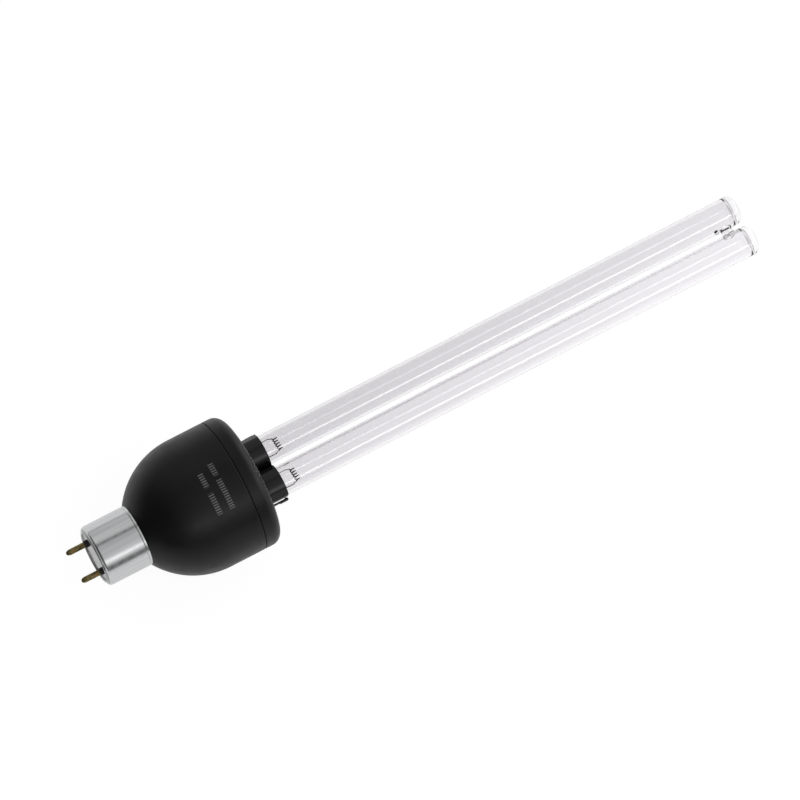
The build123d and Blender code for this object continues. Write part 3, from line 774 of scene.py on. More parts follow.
@dataclass(frozen=True)
class ClearQuartz(Finish):
    """Clear quartz glass with the faint drawn lines of its tubing, with painted shade that makes it
    greyer near the collar and on the +y leg, and painted dark outlines where it turns away or ends."""

    grey: Colour
    clear: Colour
    painted_shade_place: float = 16.0
    clear_place: float = 330.0
    lean: float = 8.4
    outline_start: float = 0.78
    outline_painted_shade: float = 0.5
    tip_a: float = 275.6
    tip_run: float = 1.0
    tip_painted_shade: float = 0.2
    refraction: float = 1.46
    line: float = 0.9
    line_depth: float = 0.004

    def paint(self, bench: Bench) -> None:
        """Fills a material's bench.

        Args:
            bench: The bench.
        """
        place = bench.apart(bench.lines)
        # Painted shade: the tone runs from grey near the collar, and more so on the +y leg, to
        # clear towards the tips.
        run = bench.math("ADD", place["X"], bench.math("MULTIPLY", place["Y"], -self.lean))
        share = bench.ranged(run, 0.0, 1.0, self.painted_shade_place, self.clear_place)
        tone = bench.blend(share, [(0.0, self.grey), (1.0, self.clear)])
        # Painted shade: a dark outline where the surface turns away from view.
        turned_away = bench.node("LayerWeight").outputs["Facing"]
        edge = bench.ranged(turned_away, 1.0, self.outline_painted_shade, self.outline_start, 1.0)
        # Painted shade: a dark outline over the last tip_run mm of each tip.
        tip = bench.ranged(place["X"], 1.0, self.tip_painted_shade, self.tip_a - self.tip_run, self.tip_a)
        tone = bench.paint_shade(tone, bench.math("MULTIPLY", edge, tip))
        bench.set(Base_Color=tone, Roughness=0.0, IOR=self.refraction, Transmission_Weight=1.0)
        bench.relief(bench.noise(self.line, 2.0, bench.stretched(0.02, 1.0)), self.line_depth)


@dataclass(frozen=True)
class FiredCeramic(Finish):
    """Cement, ferrite and other fired stuff: rough, slightly porous and speckled."""

    colour: Colour
    speckle: float = 0.35
    roughness: float = 0.8
    pore: float = 0.5

    def paint(self, bench: Bench) -> None:
        """Fills a material's bench.

        Args:
            bench: The bench.
        """
        dark = tuple(c * (1 - self.speckle) for c in self.colour)
        tone = bench.blend(bench.noise(self.pore, 6.0), [(0.35, dark), (0.55, self.colour)])
        bench.set(Base_Color=tone, Roughness=self.roughness)
        bench.relief(bench.noise(self.pore * 0.6, 4.0), 0.06)


@dataclass(frozen=True)
class WireMetal(Finish):
    """Thin wire or foil: a darker oxide cloud over bare metal."""

    metal: Colour
    oxide: Colour
    roughness: float = 0.4

    def paint(self, bench: Bench) -> None:
        """Fills a material's bench.

        Args:
            bench: The bench.
        """
        tone = bench.blend(bench.noise(0.7, 3.0), [(0.4, self.oxide), (0.62, self.metal)])
        bench.set(Base_Color=tone, Metallic=1.0, Roughness=self.roughness)


@dataclass(frozen=True)
class CircuitBoard(Finish):
    """Glass-fibre board under green lacquer, with the weave showing through."""

    lacquer: Colour
    weave: float = 0.5

    def paint(self, bench: Bench) -> None:
        """Fills a material's bench.

        Args:
            bench: The bench.
        """
        threads = bench.bands(self.weave, "Y", 0.6)
        pale = tuple(c * 1.5 for c in self.lacquer)
        tone = bench.blend(threads, [(0.2, self.lacquer), (0.9, pale)])
        bench.set(Base_Color=tone, Roughness=0.35)
        bench.relief(threads, 0.02, 0.5)


@dataclass(frozen=True)
class WoundWire(Finish):
    """Enamelled copper wire wound turn by turn: fine ridges across a block of winding, with painted
    shade in the creases between turns.
    """

    copper: Colour
    pitch: float = 0.4

    def paint(self, bench: Bench) -> None:
        """Fills a material's bench.

        Args:
            bench: The bench.
        """
        turns = bench.bands(self.pitch * 2, "Z")
        # Painted shade: the dark bands lie in the creases between turns.
        dark = tuple(c * 0.45 for c in self.copper)
        tone = bench.blend(turns, [(0.1, dark), (0.7, self.copper)])
        bench.set(Base_Color=tone, Metallic=0.9, Roughness=0.35)
        bench.relief(turns, 0.1)


class Slot(Enum):
    """The record's material slots."""

    CAP = "cap_aluminium"
    INSULATOR = "insulator_black"
    PIN = "pin_brass"
    HOUSING = "housing_black"
    COLLAR = "collar_black"
    QUARTZ = "quartz_clear"
    TUNGSTEN = "tungsten"
    NICKEL = "lead_nickel"
    FOIL = "molybdenum"
    CEMENT = "cement_white"
    WIRE = "wire_white"
    BOARD = "board_green"
    CAN = "capacitor_sleeve"
    FERRITE = "ferrite"
    BOBBIN = "bobbin_cream"
    WINDING = "winding_copper"
    EPOXY = "epoxy_black"
    FILM = "film_red"
    RESISTOR = "resistor_grey"


FINISHES = {
    Slot.CAP: DrawnMetal((0.60, 0.61, 0.62), (0.69, 0.695, 0.70), 0.19),
    Slot.INSULATOR: MouldedPlastic((0.012, 0.012, 0.012), 0.55),
    Slot.PIN: TarnishedBrass((0.22, 0.18, 0.08), (0.06, 0.045, 0.02), (0.36, 0.09, 0.02)),
    Slot.HOUSING: PrintedPlastic((0.003, 0.003, 0.0034), 0.4, gloss=0.22),
    Slot.COLLAR: MouldedPlastic((0.004, 0.004, 0.0045), 0.28, grain_depth=0.004, gloss=0.35),
    Slot.QUARTZ: ClearQuartz((0.78, 0.77, 0.785), (0.925, 0.915, 0.93)),
    Slot.TUNGSTEN: WireMetal((0.05, 0.05, 0.055), (0.015, 0.015, 0.015), 0.5),
    Slot.NICKEL: WireMetal((0.30, 0.29, 0.28), (0.12, 0.11, 0.11)),
    Slot.FOIL: WireMetal((0.5, 0.5, 0.52), (0.3, 0.3, 0.32), 0.3),
    Slot.CEMENT: FiredCeramic((0.80, 0.79, 0.75), 0.15),
    Slot.WIRE: MouldedPlastic((0.78, 0.78, 0.75), 0.4, cloud=0.04),
    Slot.BOARD: CircuitBoard((0.04, 0.14, 0.05)),
    Slot.CAN: MouldedPlastic((0.02, 0.03, 0.08), 0.25),
    Slot.FERRITE: FiredCeramic((0.045, 0.045, 0.05), 0.3),
    Slot.BOBBIN: MouldedPlastic((0.70, 0.66, 0.52), 0.5, cloud=0.05),
    Slot.WINDING: WoundWire((0.62, 0.24, 0.09)),
    Slot.EPOXY: MouldedPlastic((0.02, 0.02, 0.02), 0.55),
    Slot.FILM: MouldedPlastic((0.42, 0.05, 0.03), 0.3, cloud=0.12),
    Slot.RESISTOR: FiredCeramic((0.30, 0.34, 0.32), 0.2),
}


class PaintShop:
    """Makes each finish once, when the first piece asks for it, and hands pieces in."""

    def __init__(self) -> None:
        """Starts with no finish made."""
        self._made: dict[Slot, bpy.types.Material] = {}

    def dress(self, piece: Piece, slot: Slot) -> None:
        """Gives a piece the finish of a slot.

        Args:
            piece: The piece.
            slot: The record's material slot.
        """
        if slot not in self._made:
            self._made[slot] = FINISHES[slot].material(slot.value)
        piece.data.materials.clear()
        piece.data.materials.append(self._made[slot])

    def hand_in(self, piece: Piece, slot: Slot, *nodes: str) -> None:
        """Lays a finished piece in the row frame, dresses it and fixes it to the lamp.

        Args:
            piece: The piece, still in the lamp's own lines.
            slot: The record's material slot.
            *nodes: The CAD nodes that it stands for.
        """
        take(piece)
        piece.matrix_world = LAMP.to_row()
        bpy.context.view_layer.update()
        bpy.ops.object.transform_apply()
        self.dress(piece, slot)
        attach(piece, "root")
        if nodes:
            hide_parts(*nodes)
        log.info("%s: %d faces", piece.name, len(piece.data.polygons))


# The lamp's pieces


@dataclass
class Cap:
    """Drawn aluminium cap with its black insulator and two brass contact pins."""

    shop: PaintShop
    r: float = 12.8
    length: float = 19.5
    wall: float = 0.5
    shoulder_r: float = 1.5
    bead_r: float = 0.5
    bead_inset: float = 2.1
    rim_depth: float = 1.1
    groove_a: float = -0.95
    groove_half: float = 0.25
    groove_depth: float = 0.2
    recess: float = 0.6
    insulator_t: float = 2.4
    insulator_edge: float = 0.75
    boss_r: float = 1.5
    boss_height: float = 1.3
    boss_edge: float = 0.15
    boss_root: float = 0.5
    pin_y: float = 6.35
    pin_r: float = 1.2
    pin_neck_r: float = 0.95
    pin_bare: float = 8.0
    pin_nose: float = 1.9
    pin_nose_flat: float = 0.25
    pin_tip_r: float = 0.1
    pin_straight: float = 0.4
    pin_edge: float = 0.08
    pin_flange_r: float = 2.0
    pin_flange_t: float = 0.6
    pin_play: float = 0.02
    play: float = 0.1
    hub: float = 0.6
    drilled: Point = (-3.0, 6.0)
    sides: int = 48

    @property
    def boss_end(self) -> float:
        """Returns where the insulator's bosses end, in mm along the axis."""
        return -self.length + self.recess - self.boss_height

    def shell(self) -> Piece:
        """Returns the shell: side, groove, shoulder, rolled bead and flat face with two holes."""
        end = -self.length
        bead_a, ring = end + self.bead_r, self.r - self.bead_inset
        inner, slant = self.r - self.wall, self.shoulder_r / 2
        rim, face = end + self.rim_depth, end + self.recess
        groove, half = self.groove_a, self.groove_half
        outline = [(rim, self.hub), (rim, inner - slant), (rim + slant, inner), (0, inner)]
        outline += [(0, self.r), (groove + half, self.r), (groove, self.r - self.groove_depth)]
        outline += [(groove - half, self.r), (groove - 3 * half, self.r)]
        shoulder = (bead_a + self.shoulder_r, self.r - self.shoulder_r)
        outline += arc(shoulder, (self.shoulder_r,) * 2, 90, 180, 10)
        outline += arc((bead_a, ring), (self.bead_r,) * 2, 90, 270, 10)
        outline += [(face, ring - self.bead_r), (face, self.hub)]
        shell = turned("cap_shell_drawn", outline)
        self.drill(shell, self.boss_r + self.play)
        return shell

    def at_pins(self, piece: Piece, how: str, outline: Sequence[Point]) -> None:
        """Joins or cuts a piece with a turned solid at each pin.

        Args:
            piece: The piece that is changed.
            how: UNION or DIFFERENCE.
            outline: Place along the axis and radius of each ring of the solid, in mm.
        """
        solid = turned("solid", outline, self.pin_y, self.sides)
        for tool in (solid, copy_across(solid, "solid_other", -2 * self.pin_y)):
            shape_with(piece, tool, how)

    def drill(self, piece: Piece, r: float) -> None:
        """Cuts a round hole of a radius in mm through a piece at each pin."""
        self.at_pins(piece, "DIFFERENCE", [(a - self.length, r) for a in self.drilled])
        bpy.ops.object.shade_smooth_by_angle(angle=SMOOTH_ANGLE)

    def insulator(self) -> Piece:
        """Returns the black disc behind the face, whose bosses come through it round each pin."""
        rim, edge = -self.length + self.rim_depth, self.insulator_edge
        full = self.r - self.wall - self.play
        outline = [(rim, full - edge), (rim + edge, full), (rim + self.insulator_t, full)]
        disc = turned("cap_insulator_moulded", outline)
        end, cut_back = self.boss_end, self.boss_edge
        boss = [(rim + self.boss_root, self.boss_r), (end + cut_back, self.boss_r)]
        boss += [(end, self.boss_r - cut_back)]
        self.at_pins(disc, "UNION", boss)
        self.drill(disc, self.pin_neck_r + self.pin_play)
        return disc

    def pins(self) -> list[Piece]:
        """Returns both pins: bullet nose, shoulder on the boss, neck and flange."""
        tip = self.boss_end - self.pin_bare
        nose_end = tip + self.pin_nose
        back = -self.length + self.rim_depth + self.insulator_t
        rise = self.pin_r - self.pin_nose_flat
        outline = [(tip, self.pin_tip_r)]
        outline += arc((nose_end, self.pin_nose_flat), (self.pin_nose, rise), 180, 90, 12)
        end, edge = self.boss_end, self.pin_edge
        outline += [(nose_end + self.pin_straight, self.pin_r), (end - edge, self.pin_r)]
        outline += [(end, self.pin_r - edge), (end, self.pin_neck_r), (back, self.pin_neck_r)]
        outline += [(back, self.pin_flange_r), (back + self.pin_flange_t, self.pin_flange_r)]
        first = turned("contact_pin_minus", outline, -self.pin_y, self.sides)
        return [first, copy_across(first, "contact_pin_plus", 2 * self.pin_y)]

    def build(self) -> None:
        """Builds and dresses the cap."""
        self.shop.hand_in(self.shell(), Slot.CAP, "cap_shell")
        self.shop.hand_in(self.insulator(), Slot.INSULATOR, "cap_insulator")
        for number, pin in enumerate(self.pins(), start=1):
            self.shop.hand_in(pin, Slot.PIN, f"contact_pin_{number}")


@dataclass
class Collar:
    """Glossy black collar round both legs: two lobes with a narrow facet on each upper outer
    shoulder, and a groove along each side, in which the cover's finger lies."""

    shop: PaintShop
    leg_y: float = 7.15
    lobe_r: float = 7.35
    groove_top: float = 2.6
    groove_bottom: float = -5.3
    facet_lean: float = 54.8
    facet_reach: float = 7.135
    socket_r: float = 6.55
    bore_r: float = 6.15
    front_a: float = 60.0
    flange_front_a: float = 48.6
    rear_a: float = 44.3
    edge: float = 0.21
    valley_play: float = 0.05
    middle_cuts: int = 4
    facet_cuts: int = 6
    flange_across: float = 1.1
    flange_up: float = 1.18
    sides: int = 96

    def half_outline(self, a: float, grow: float) -> None:
        """Draws the outline's half at the +y side as a closed loop, in edit mode.

        Args:
            a: Place along the axis, in mm.
            grow: How much larger it is all round, in mm.
        """
        let_go()
        socket = self.socket_r + grow
        top, bottom = self.groove_top - grow, self.groove_bottom + grow
        start_ring(a, self.leg_y, self.lobe_r + grow, self.sides)
        self.facet(self.facet_reach + grow)
        bpy.ops.mesh.select_all(action="SELECT")
        cut((0, 0, 0), (0, 1, 0), clear_inner=True)
        for ledge in (top, bottom):
            bpy.ops.mesh.select_all(action="SELECT")
            cut((0, 0, ledge * MM), (0, 0, 1))
        pick(lambda p: bottom + SAME < p.z < top - SAME and p.y > self.leg_y)
        bpy.ops.mesh.delete(type="VERT")
        start_ring(a, self.leg_y, socket, self.sides)
        on_socket = on_ring(self.leg_y, socket)
        for ledge, way in ((top, 1), (bottom, -1)):
            pick(on_socket)
            cut((0, 0, ledge * MM), (0, 0, way), clear_outer=True)
        pick(lambda p: on_socket(p) and p.y < self.leg_y)
        bpy.ops.mesh.delete(type="VERT")
        for ledge in (top, bottom):
            pick(lambda p: abs(p.z - ledge) < ON_CUT and p.y > self.leg_y)
            bpy.ops.mesh.edge_face_add()
        pick(lambda p: abs(p.y) < NEAR)
        bpy.ops.mesh.edge_face_add()
        bpy.ops.mesh.subdivide(number_cuts=self.middle_cuts)

    def facet(self, reach: float) -> None:
        """Cuts the lobe's circle straight at its upper outer shoulder, in edit mode.

        Args:
            reach: Distance of the straight cut from the leg's line, in mm.
        """
        lean = radians(self.facet_lean)
        normal = Vector((0, sin(lean), cos(lean)))
        point = Vector((0, self.leg_y, 0)) + normal * reach
        cut(point * MM, normal, clear_outer=True)
        pick(lambda p: abs(normal.dot(p - point)) < ON_CUT)
        bpy.ops.mesh.edge_face_add()
        bpy.ops.mesh.subdivide(number_cuts=self.facet_cuts)

    def both_halves(self, name: str) -> Piece:
        """Mirrors the half in edit mode to the -y side.

        Args:
            name: The piece's name.

        Returns:
            The whole object.
        """
        bpy.ops.object.mode_set(mode="OBJECT")
        bpy.ops.object.transform_apply()
        mirror = bpy.context.object.modifiers.new("other_half", "MIRROR")
        mirror.use_axis = (False, True, False)
        mirror.merge_threshold = HALVES_DISTANCE
        bpy.ops.object.modifier_apply(modifier=mirror.name)
        bpy.ops.object.mode_set(mode="EDIT")
        return close_up(name)

    def plug(self, grow: float, front: float, rear: float) -> Piece:
        """Makes a plain solid of the collar's outline, to cut the cover's opening with.

        Args:
            grow: How much larger than the collar it is all round, in mm.
            front: Its front end, in mm.
            rear: Its rear end, in mm.

        Returns:
            The solid.
        """
        self.half_outline(front, grow)
        bpy.ops.mesh.select_all(action="SELECT")
        bpy.ops.mesh.edge_face_add()
        valley = ((self.lobe_r + grow) ** 2 - self.leg_y**2) ** 0.5
        pick(lambda p: abs(p.y) > NEAR or abs(p.z) > valley - self.valley_play, kind="EDGE")
        draw_out(rear - front)
        at_rear = at(rear)
        pick(lambda p: at_rear(p) and abs(p.y) < NEAR)
        bpy.ops.mesh.edge_face_add()
        pick(at_rear, kind="EDGE")
        bpy.ops.mesh.edge_face_add()
        return self.both_halves("opening_plug")

    def body(self) -> Piece:
        """Returns the collar with its two bores and its flange behind the cover."""
        on_bore, at_rear = on_ring(self.leg_y, self.bore_r), at(self.rear_a)
        self.half_outline(self.front_a, 0.0)
        start_ring(self.front_a, self.leg_y, self.bore_r, self.sides)
        bpy.ops.mesh.fill(use_beauty=True)
        pick(on_bore, kind="EDGE")
        draw_out(self.rear_a - self.front_a)
        self.outer_edges(self.front_a)
        draw_out(self.flange_front_a - self.front_a)
        self.outer_edges(self.flange_front_a)
        draw_out(0)
        widen(self.flange_front_a, 0, self.flange_across, self.flange_up)
        draw_out(self.rear_a - self.flange_front_a)
        pick(lambda p: at_rear(p) and abs(p.y) < NEAR and not on_bore(p))
        bpy.ops.mesh.edge_face_add()
        pick(at_rear, kind="EDGE")
        bpy.ops.mesh.fill(use_beauty=True)
        return self.both_halves("lamp_collar_moulded")

    def outer_edges(self, a: float) -> None:
        """Selects the outline's edges at one place along the axis, without those of the middle.

        Args:
            a: The place, in mm.
        """
        on_bore, at_place = on_ring(self.leg_y, self.bore_r), at(a)
        pick(lambda p: at_place(p) and not on_bore(p), kind="EDGE")
        data = bpy.context.object.data
        for edge in bmesh.from_edit_mesh(data).edges:
            middle = all(abs(v.co.y / MM + self.leg_y) < NEAR for v in edge.verts)
            if edge.select and (middle or len(edge.link_faces) > 1):
                edge.select_set(False)
        bmesh.update_edit_mesh(data)

    def build(self) -> None:
        """Builds and dresses the collar, with its edges softened."""
        piece = self.body()
        soften_edges(piece, self.edge, 3)
        self.shop.hand_in(piece, Slot.COLLAR, "lamp_collar")


@dataclass
class Housing:
    """Black ballast housing: the bell-shaped dome, the front cover and its two snap fingers."""

    shop: PaintShop
    collar: Collar
    r: float = 27.8
    wall: float = 1.6
    mouth_r: float = 13.05
    mouth_edge: float = 0.12
    shoulder_a: float = 27.5
    inner_flat: float = 0.1
    seam_a: float = 42.5
    seam_gap: float = 0.2
    seam_edge: float = 0.25
    seam_flat: float = 0.3
    seam_round: float = 0.3
    neck_length: float = 9.0
    neck_r: float = 12.25
    neck_wall: float = 1.65
    front_a: float = 50.5
    edge_r: float = 4.5
    front_flat: float = 0.5
    cover_wall: float = 1.8
    cover_fillet: float = 2.4
    skirt_r: float = 26.1
    skirt_wall: float = 1.4
    skirt_end_a: float = 33.2
    hub: float = 1.0
    opening_play: float = 0.15
    opening_past: float = 2.0
    finger_minus_y: float = 14.45
    finger_plus_y: float = 13.8
    finger_t: float = 0.5
    finger_head_t: float = 0.8
    finger_width: float = 1.8
    finger_length: float = 8.8
    finger_head: float = 3.4
    finger_nose: float = 0.45
    finger_nose_length: float = 1.5
    finger_root: float = 0.2
    finger_play: float = 0.02
    finger_edge: float = 0.08
    sides: int = 128

    def seam_lip(self, a: float, way: int) -> list[Point]:
        """Gives the outline of a rounded edge at the seam.

        Args:
            a: Place of the edge's face along the axis, in mm.
            way: 1 if the material lies towards the tips from there, otherwise -1.

        Returns:
            The outline's points, from the side to the face.
        """
        edge = self.seam_edge
        start = a + way * edge
        return [
            (start + way * self.seam_flat, self.r),
            (start, self.r),
            (a + way * edge * self.seam_round, self.r - edge * self.seam_round),
            (a, self.r - edge),
        ]

    def dome(self) -> Piece:
        """Returns the dome: its bell outside, the seam's edge, and back along the inside."""
        rise = self.r - self.mouth_r
        big_r = (self.shoulder_a**2 + rise**2) / (2 * rise)
        centre = (self.shoulder_a, self.r - big_r)
        small_r = big_r - self.wall
        inner = self.r - self.wall
        neck_inner = self.neck_r - self.neck_wall
        start = 180 - angle_at(self.mouth_r - centre[1], big_r)
        inner_start = 180 - angle_at(neck_inner - centre[1], small_r)
        outline = [(0, self.neck_r), (0, self.mouth_r - self.mouth_edge)]
        outline += arc(centre, (big_r, big_r), start, 90, 44)
        outline += self.seam_lip(self.seam_a, -1)
        outline += [(self.seam_a, inner), (self.shoulder_a + self.inner_flat, inner)]
        outline += arc(centre, (small_r, small_r), 90, inner_start, 24)
        outline += [(-self.neck_length, neck_inner), (-self.neck_length, self.neck_r)]
        return turned("housing_dome_moulded", outline, sides=self.sides, whole_ring=True)

    def cover(self) -> Piece:
        """Returns the cover: rounded cup with its skirt, cut out for the collar."""
        back = self.seam_a + self.seam_gap
        skirt_inner = self.skirt_r - self.skirt_wall
        inner_a = self.front_a - self.cover_wall
        edge, fillet = self.edge_r, self.cover_fillet
        outline = [(self.front_a, self.hub), (self.front_a, self.r - edge - self.front_flat)]
        outline += arc((self.front_a - edge, self.r - edge), (edge, edge), 0, 90, 20)
        outline += self.seam_lip(back, 1)
        end = self.skirt_end_a
        outline += [(back, self.skirt_r), (end, self.skirt_r), (end, skirt_inner)]
        outline += arc((inner_a - fillet, skirt_inner - fillet), (fillet, fillet), 90, 0, 8)
        outline += [(inner_a, self.hub)]
        cover = turned("front_cover_moulded", outline, sides=self.sides)
        past = self.opening_past
        opening = self.collar.plug(self.opening_play, self.front_a + past, inner_a - past)
        shape_with(cover, opening, "DIFFERENCE")
        take(cover)
        bpy.ops.object.shade_smooth_by_angle(angle=SMOOTH_ANGLE)
        return cover

    def finger(self, side: int) -> Piece:
        """Makes one snap finger, drawn out of the cover to its hooked head.

        Args:
            side: 1 for the +y side, -1 for the other.

        Returns:
            The finger.
        """
        root = self.front_a - self.cover_wall + self.finger_root
        tip = self.front_a + self.finger_length
        head, nose = tip - self.finger_head, tip - self.finger_nose_length
        y = self.finger_plus_y if side > 0 else self.finger_minus_y
        outer = y + self.finger_head_t
        room = y - self.collar.leg_y - self.collar.socket_r - self.finger_play
        stations = [
            (head - self.finger_t, y, y + self.finger_t),
            (head, y, outer),
            (nose, y, outer),
            (nose + self.finger_nose_length / 3, y - min(self.finger_nose, room), outer),
            (tip, y + self.finger_t / 4, outer),
        ]
        a, low, high = stations[0]
        let_go()
        bpy.ops.mesh.primitive_cube_add(
            size=1,
            location=((root + a) / 2 * MM, side * (low + high) / 2 * MM, 0),
            scale=((a - root) * MM, (high - low) * MM, self.finger_width * MM),
        )
        bpy.ops.object.mode_set(mode="EDIT")
        for next_a, next_low, next_high in stations[1:]:
            pick(at(a, SAME), kind="FACE")
            draw_out(next_a - a)
            widen(next_a, side * (low + high) / 2, (next_high - next_low) / (high - low), 1)
            shift = (next_low + next_high - low - high) / 2
            bpy.ops.transform.translate(value=(0, side * shift * MM, 0))
            a, low, high = next_a, next_low, next_high
        piece = close_up(f"snap_finger_{'plus' if side > 0 else 'minus'}")
        soften_edges(piece, self.finger_edge)
        return piece

    def build(self) -> None:
        """Builds and dresses the housing."""
        self.shop.hand_in(self.dome(), Slot.HOUSING, "housing_dome")
        self.shop.hand_in(self.cover(), Slot.HOUSING, "front_cover")
        for side in (-1, 1):
            self.shop.hand_in(self.finger(side), Slot.HOUSING)


@dataclass
class QuartzTube:
    """Clear twin tube: two legs with flattened round tips, a blown bridge and pinched rear ends."""

    shop: PaintShop
    leg_y: float = 7.15
    r: float = 6.1
    wall: float = 1.1
    tip_a: float = 275.6
    tip_edge_r: float = 2.5
    tip_crown: float = 0.7
    inner_crown: float = 0.8
    crown_stop: float = 2.0
    tip_wall: float = 2.6
    inner_edge_r: float = 2.0
    middle_a: float = 150.0
    near_from: float = 9.0
    close_from: float = 7.0
    close_step: float = 0.75
    close_rings: int = 15
    bridge_back: float = 8.4
    bridge_r: float = 2.3
    bridge_flare: float = 1.3
    bridge_half: float = 2.4
    bridge_steps: int = 12
    bore_r: float = 1.5
    bore_flare: float = 0.4
    bore_half: float = 3.4
    flare_power: float = 2.2
    pinch_rear_a: float = 42.5
    pinch_front_a: float = 49.5
    pinch_t: float = 3.2
    shoulder: float = 5.0
    shoulder_steps: int = 8
    cavity_a: float = 55.3
    cavity_edge_r: float = 2.4
    cavity_hollow: float = 1.5
    nub_back: float = 12.9
    nub_up: float = 2.25
    nub_r: float = 0.8
    nub_round: float = 0.8
    nub_sides: int = 24
    nub_root_y: float = 2.1
    nub_tip_y: float = 0.2
    sides: int = 72

    def tip(self, a: float, r: float, edge: float, crown: float, steps: int) -> list[Point]:
        """Gives the outline of a closed end: a rounded edge that runs into a shallow crown.

        Args:
            a: Place of the crown's top, in mm.
            r: Radius of the tube, in mm.
            edge: Radius of the rounded edge, in mm.
            crown: How far the crown stands over the edge's plane, in mm.
            steps: Runs in the edge's arc.

        Returns:
            The outline's points from the tube's side to near the axis.
        """
        crown_r = (r**2 + crown**2) / (2 * crown)
        ring = r - edge
        ring_a = a - crown_r + ((crown_r - edge) ** 2 - ring**2) ** 0.5
        meet = angle_at(ring, crown_r - edge)
        points = arc((ring_a, ring), (edge, edge), 90, meet, steps)
        return points + arc((a - crown_r, 0), (crown_r, crown_r), meet, self.crown_stop, 6)[1:]

    def near_bridge(self) -> list[float]:
        """Returns places of rings along a leg: two on its length, then close ones at the bridge."""
        bridge_a = self.tip_a - self.bridge_back
        close = [bridge_a - self.close_from + self.close_step * i for i in range(self.close_rings)]
        return [self.middle_a, bridge_a - self.near_from] + close

    def leg(self) -> Piece:
        """Returns one leg's outside: pinch, shoulder, straight tube and tip."""
        let_go()
        r, up = self.r, self.pinch_t / 2
        start_ring(self.pinch_rear_a, self.leg_y, r, self.sides)
        widen(self.pinch_rear_a, self.leg_y, 1, up / r)
        bpy.ops.mesh.edge_face_add()
        rings = [(self.pinch_rear_a, r, up), (self.pinch_front_a, r, up)]
        for share in (i / self.shoulder_steps for i in range(1, self.shoulder_steps + 1)):
            eased = share * share * (3 - 2 * share)
            rings.append((self.pinch_front_a + self.shoulder * share, r, up + (r - up) * eased))
        straight = [(a, r) for a in self.near_bridge()]
        tip = self.tip(self.tip_a, r, self.tip_edge_r, self.tip_crown, 10)
        draw_rings(rings + [(a, s, s) for a, s in straight + tip], self.leg_y)
        return close_up("quartz_tube_blown", GLASS_SMOOTH_ANGLE)

    def cavity(self) -> Piece:
        """Returns the space inside one leg."""
        r, edge = self.r - self.wall, self.cavity_edge_r
        outline = [(self.cavity_a, r - edge - self.cavity_hollow)]
        outline += arc((self.cavity_a + edge, r - edge), (edge, edge), 180, 90, 8)
        outline += [(a, r) for a in self.near_bridge()]
        tip_a, crown = self.tip_a - self.tip_wall, self.tip_crown * self.inner_crown
        outline += self.tip(tip_a, r, self.inner_edge_r, crown, 8)
        return turned("cavity", outline, self.leg_y, self.sides)

    def cross_tube(self, r: float, flare: float, half: float) -> Piece:
        """Makes a short tube across the lamp that flares towards both legs.

        Args:
            r: Its radius in the middle, in mm.
            flare: How much wider it is at its ends, in mm.
            half: Half of its length, in mm.

        Returns:
            The solid.
        """
        steps = self.bridge_steps
        ys = [-half + 2 * half * i / steps for i in range(steps + 1)]
        stations = [(y, r + flare * (abs(y) / half) ** self.flare_power) for y in ys]
        return turned_across("cross_tube", stations, self.tip_a - self.bridge_back)

    def nub(self) -> Piece:
        """Returns the glass nub beside the bridge, where the tube was sealed off."""
        edge = self.nub_r * self.nub_round
        stations = [(self.nub_root_y, self.nub_r)]
        stations += arc((self.nub_tip_y + edge, self.nub_r - edge), (-edge, edge), 90, 0, 6)
        a = self.tip_a - self.nub_back
        return turned_across("nub", stations, a, self.nub_up, self.nub_sides)

    def build(self) -> None:
        """Builds and dresses the tube."""
        leg = self.leg()
        other = copy_across(leg, "leg_other", -2 * self.leg_y)
        space = self.cavity()
        other_space = copy_across(space, "space_other", -2 * self.leg_y)
        bridge = self.cross_tube(self.bridge_r, self.bridge_flare, self.bridge_half)
        for solid in (bridge, other, self.nub()):
            shape_with(leg, solid, "UNION")
        for solid in (self.cross_tube(self.bore_r, self.bore_flare, self.bore_half), other_space):
            shape_with(space, solid, "UNION")
        shape_with(leg, space, "DIFFERENCE")
        take(leg)
        bpy.ops.object.shade_smooth_by_angle(angle=GLASS_SMOOTH_ANGLE)
        self.shop.hand_in(leg, Slot.QUARTZ, "quartz_tube")
        leg.visible_shadow = False


@dataclass
class InnerWorks:
    """The electrodes seen through the glass and all that the housing hides: CAD nodes, dressed."""

    shop: PaintShop

    def build(self) -> None:
        """Gives every CAD node its slot's finish."""
        slots = {part["node"]: Slot(part["material_slot"]) for part in frame["record"]["subparts"]}
        for name, node in frame["nodes"].items():
            self.shop.dress(node, slots[name])
        log.info("dressed %d CAD nodes", len(frame["nodes"]))


# Studio


@dataclass(frozen=True)
class Softbox:
    """A long soft lamp beside the lamp's length.

    lean is its angle from straight up towards -y, in degrees. distance is how far it is from the
    axis, and size its length along the axis and its width, in metres. level is the brightness of
    its face, where 1 is white. along is the place along the axis that it faces, in mm, and only
    names the pieces that it lights, or none for all.
    """

    name: str
    lean: float
    distance: float
    size: Point
    level: float
    along: float = 40.0
    only: tuple[str, ...] = ()

    def hang(self) -> None:
        """Adds the lamp to the scene."""
        data = bpy.data.lights.new(self.name, "AREA")
        data.shape = "RECTANGLE"
        data.size, data.size_y = self.size
        data.energy = self.level * pi * self.size[0] * self.size[1]
        lamp = bpy.data.objects.new(self.name, data)
        bpy.context.scene.collection.objects.link(lamp)
        turn = radians(self.lean)
        away = Vector((0, -sin(turn), cos(turn)))
        side = Vector((1, 0, 0))
        place = LAMP.point(self.along) + away * self.distance
        lamp.matrix_world = placed(place, side, away.cross(side), away)
        if self.only:
            lit = bpy.data.collections.new(f"{self.name}_pieces")
            for piece in self.only:
                lit.objects.link(bpy.data.objects[piece])
            lamp.light_linking.receiver_collection = lit


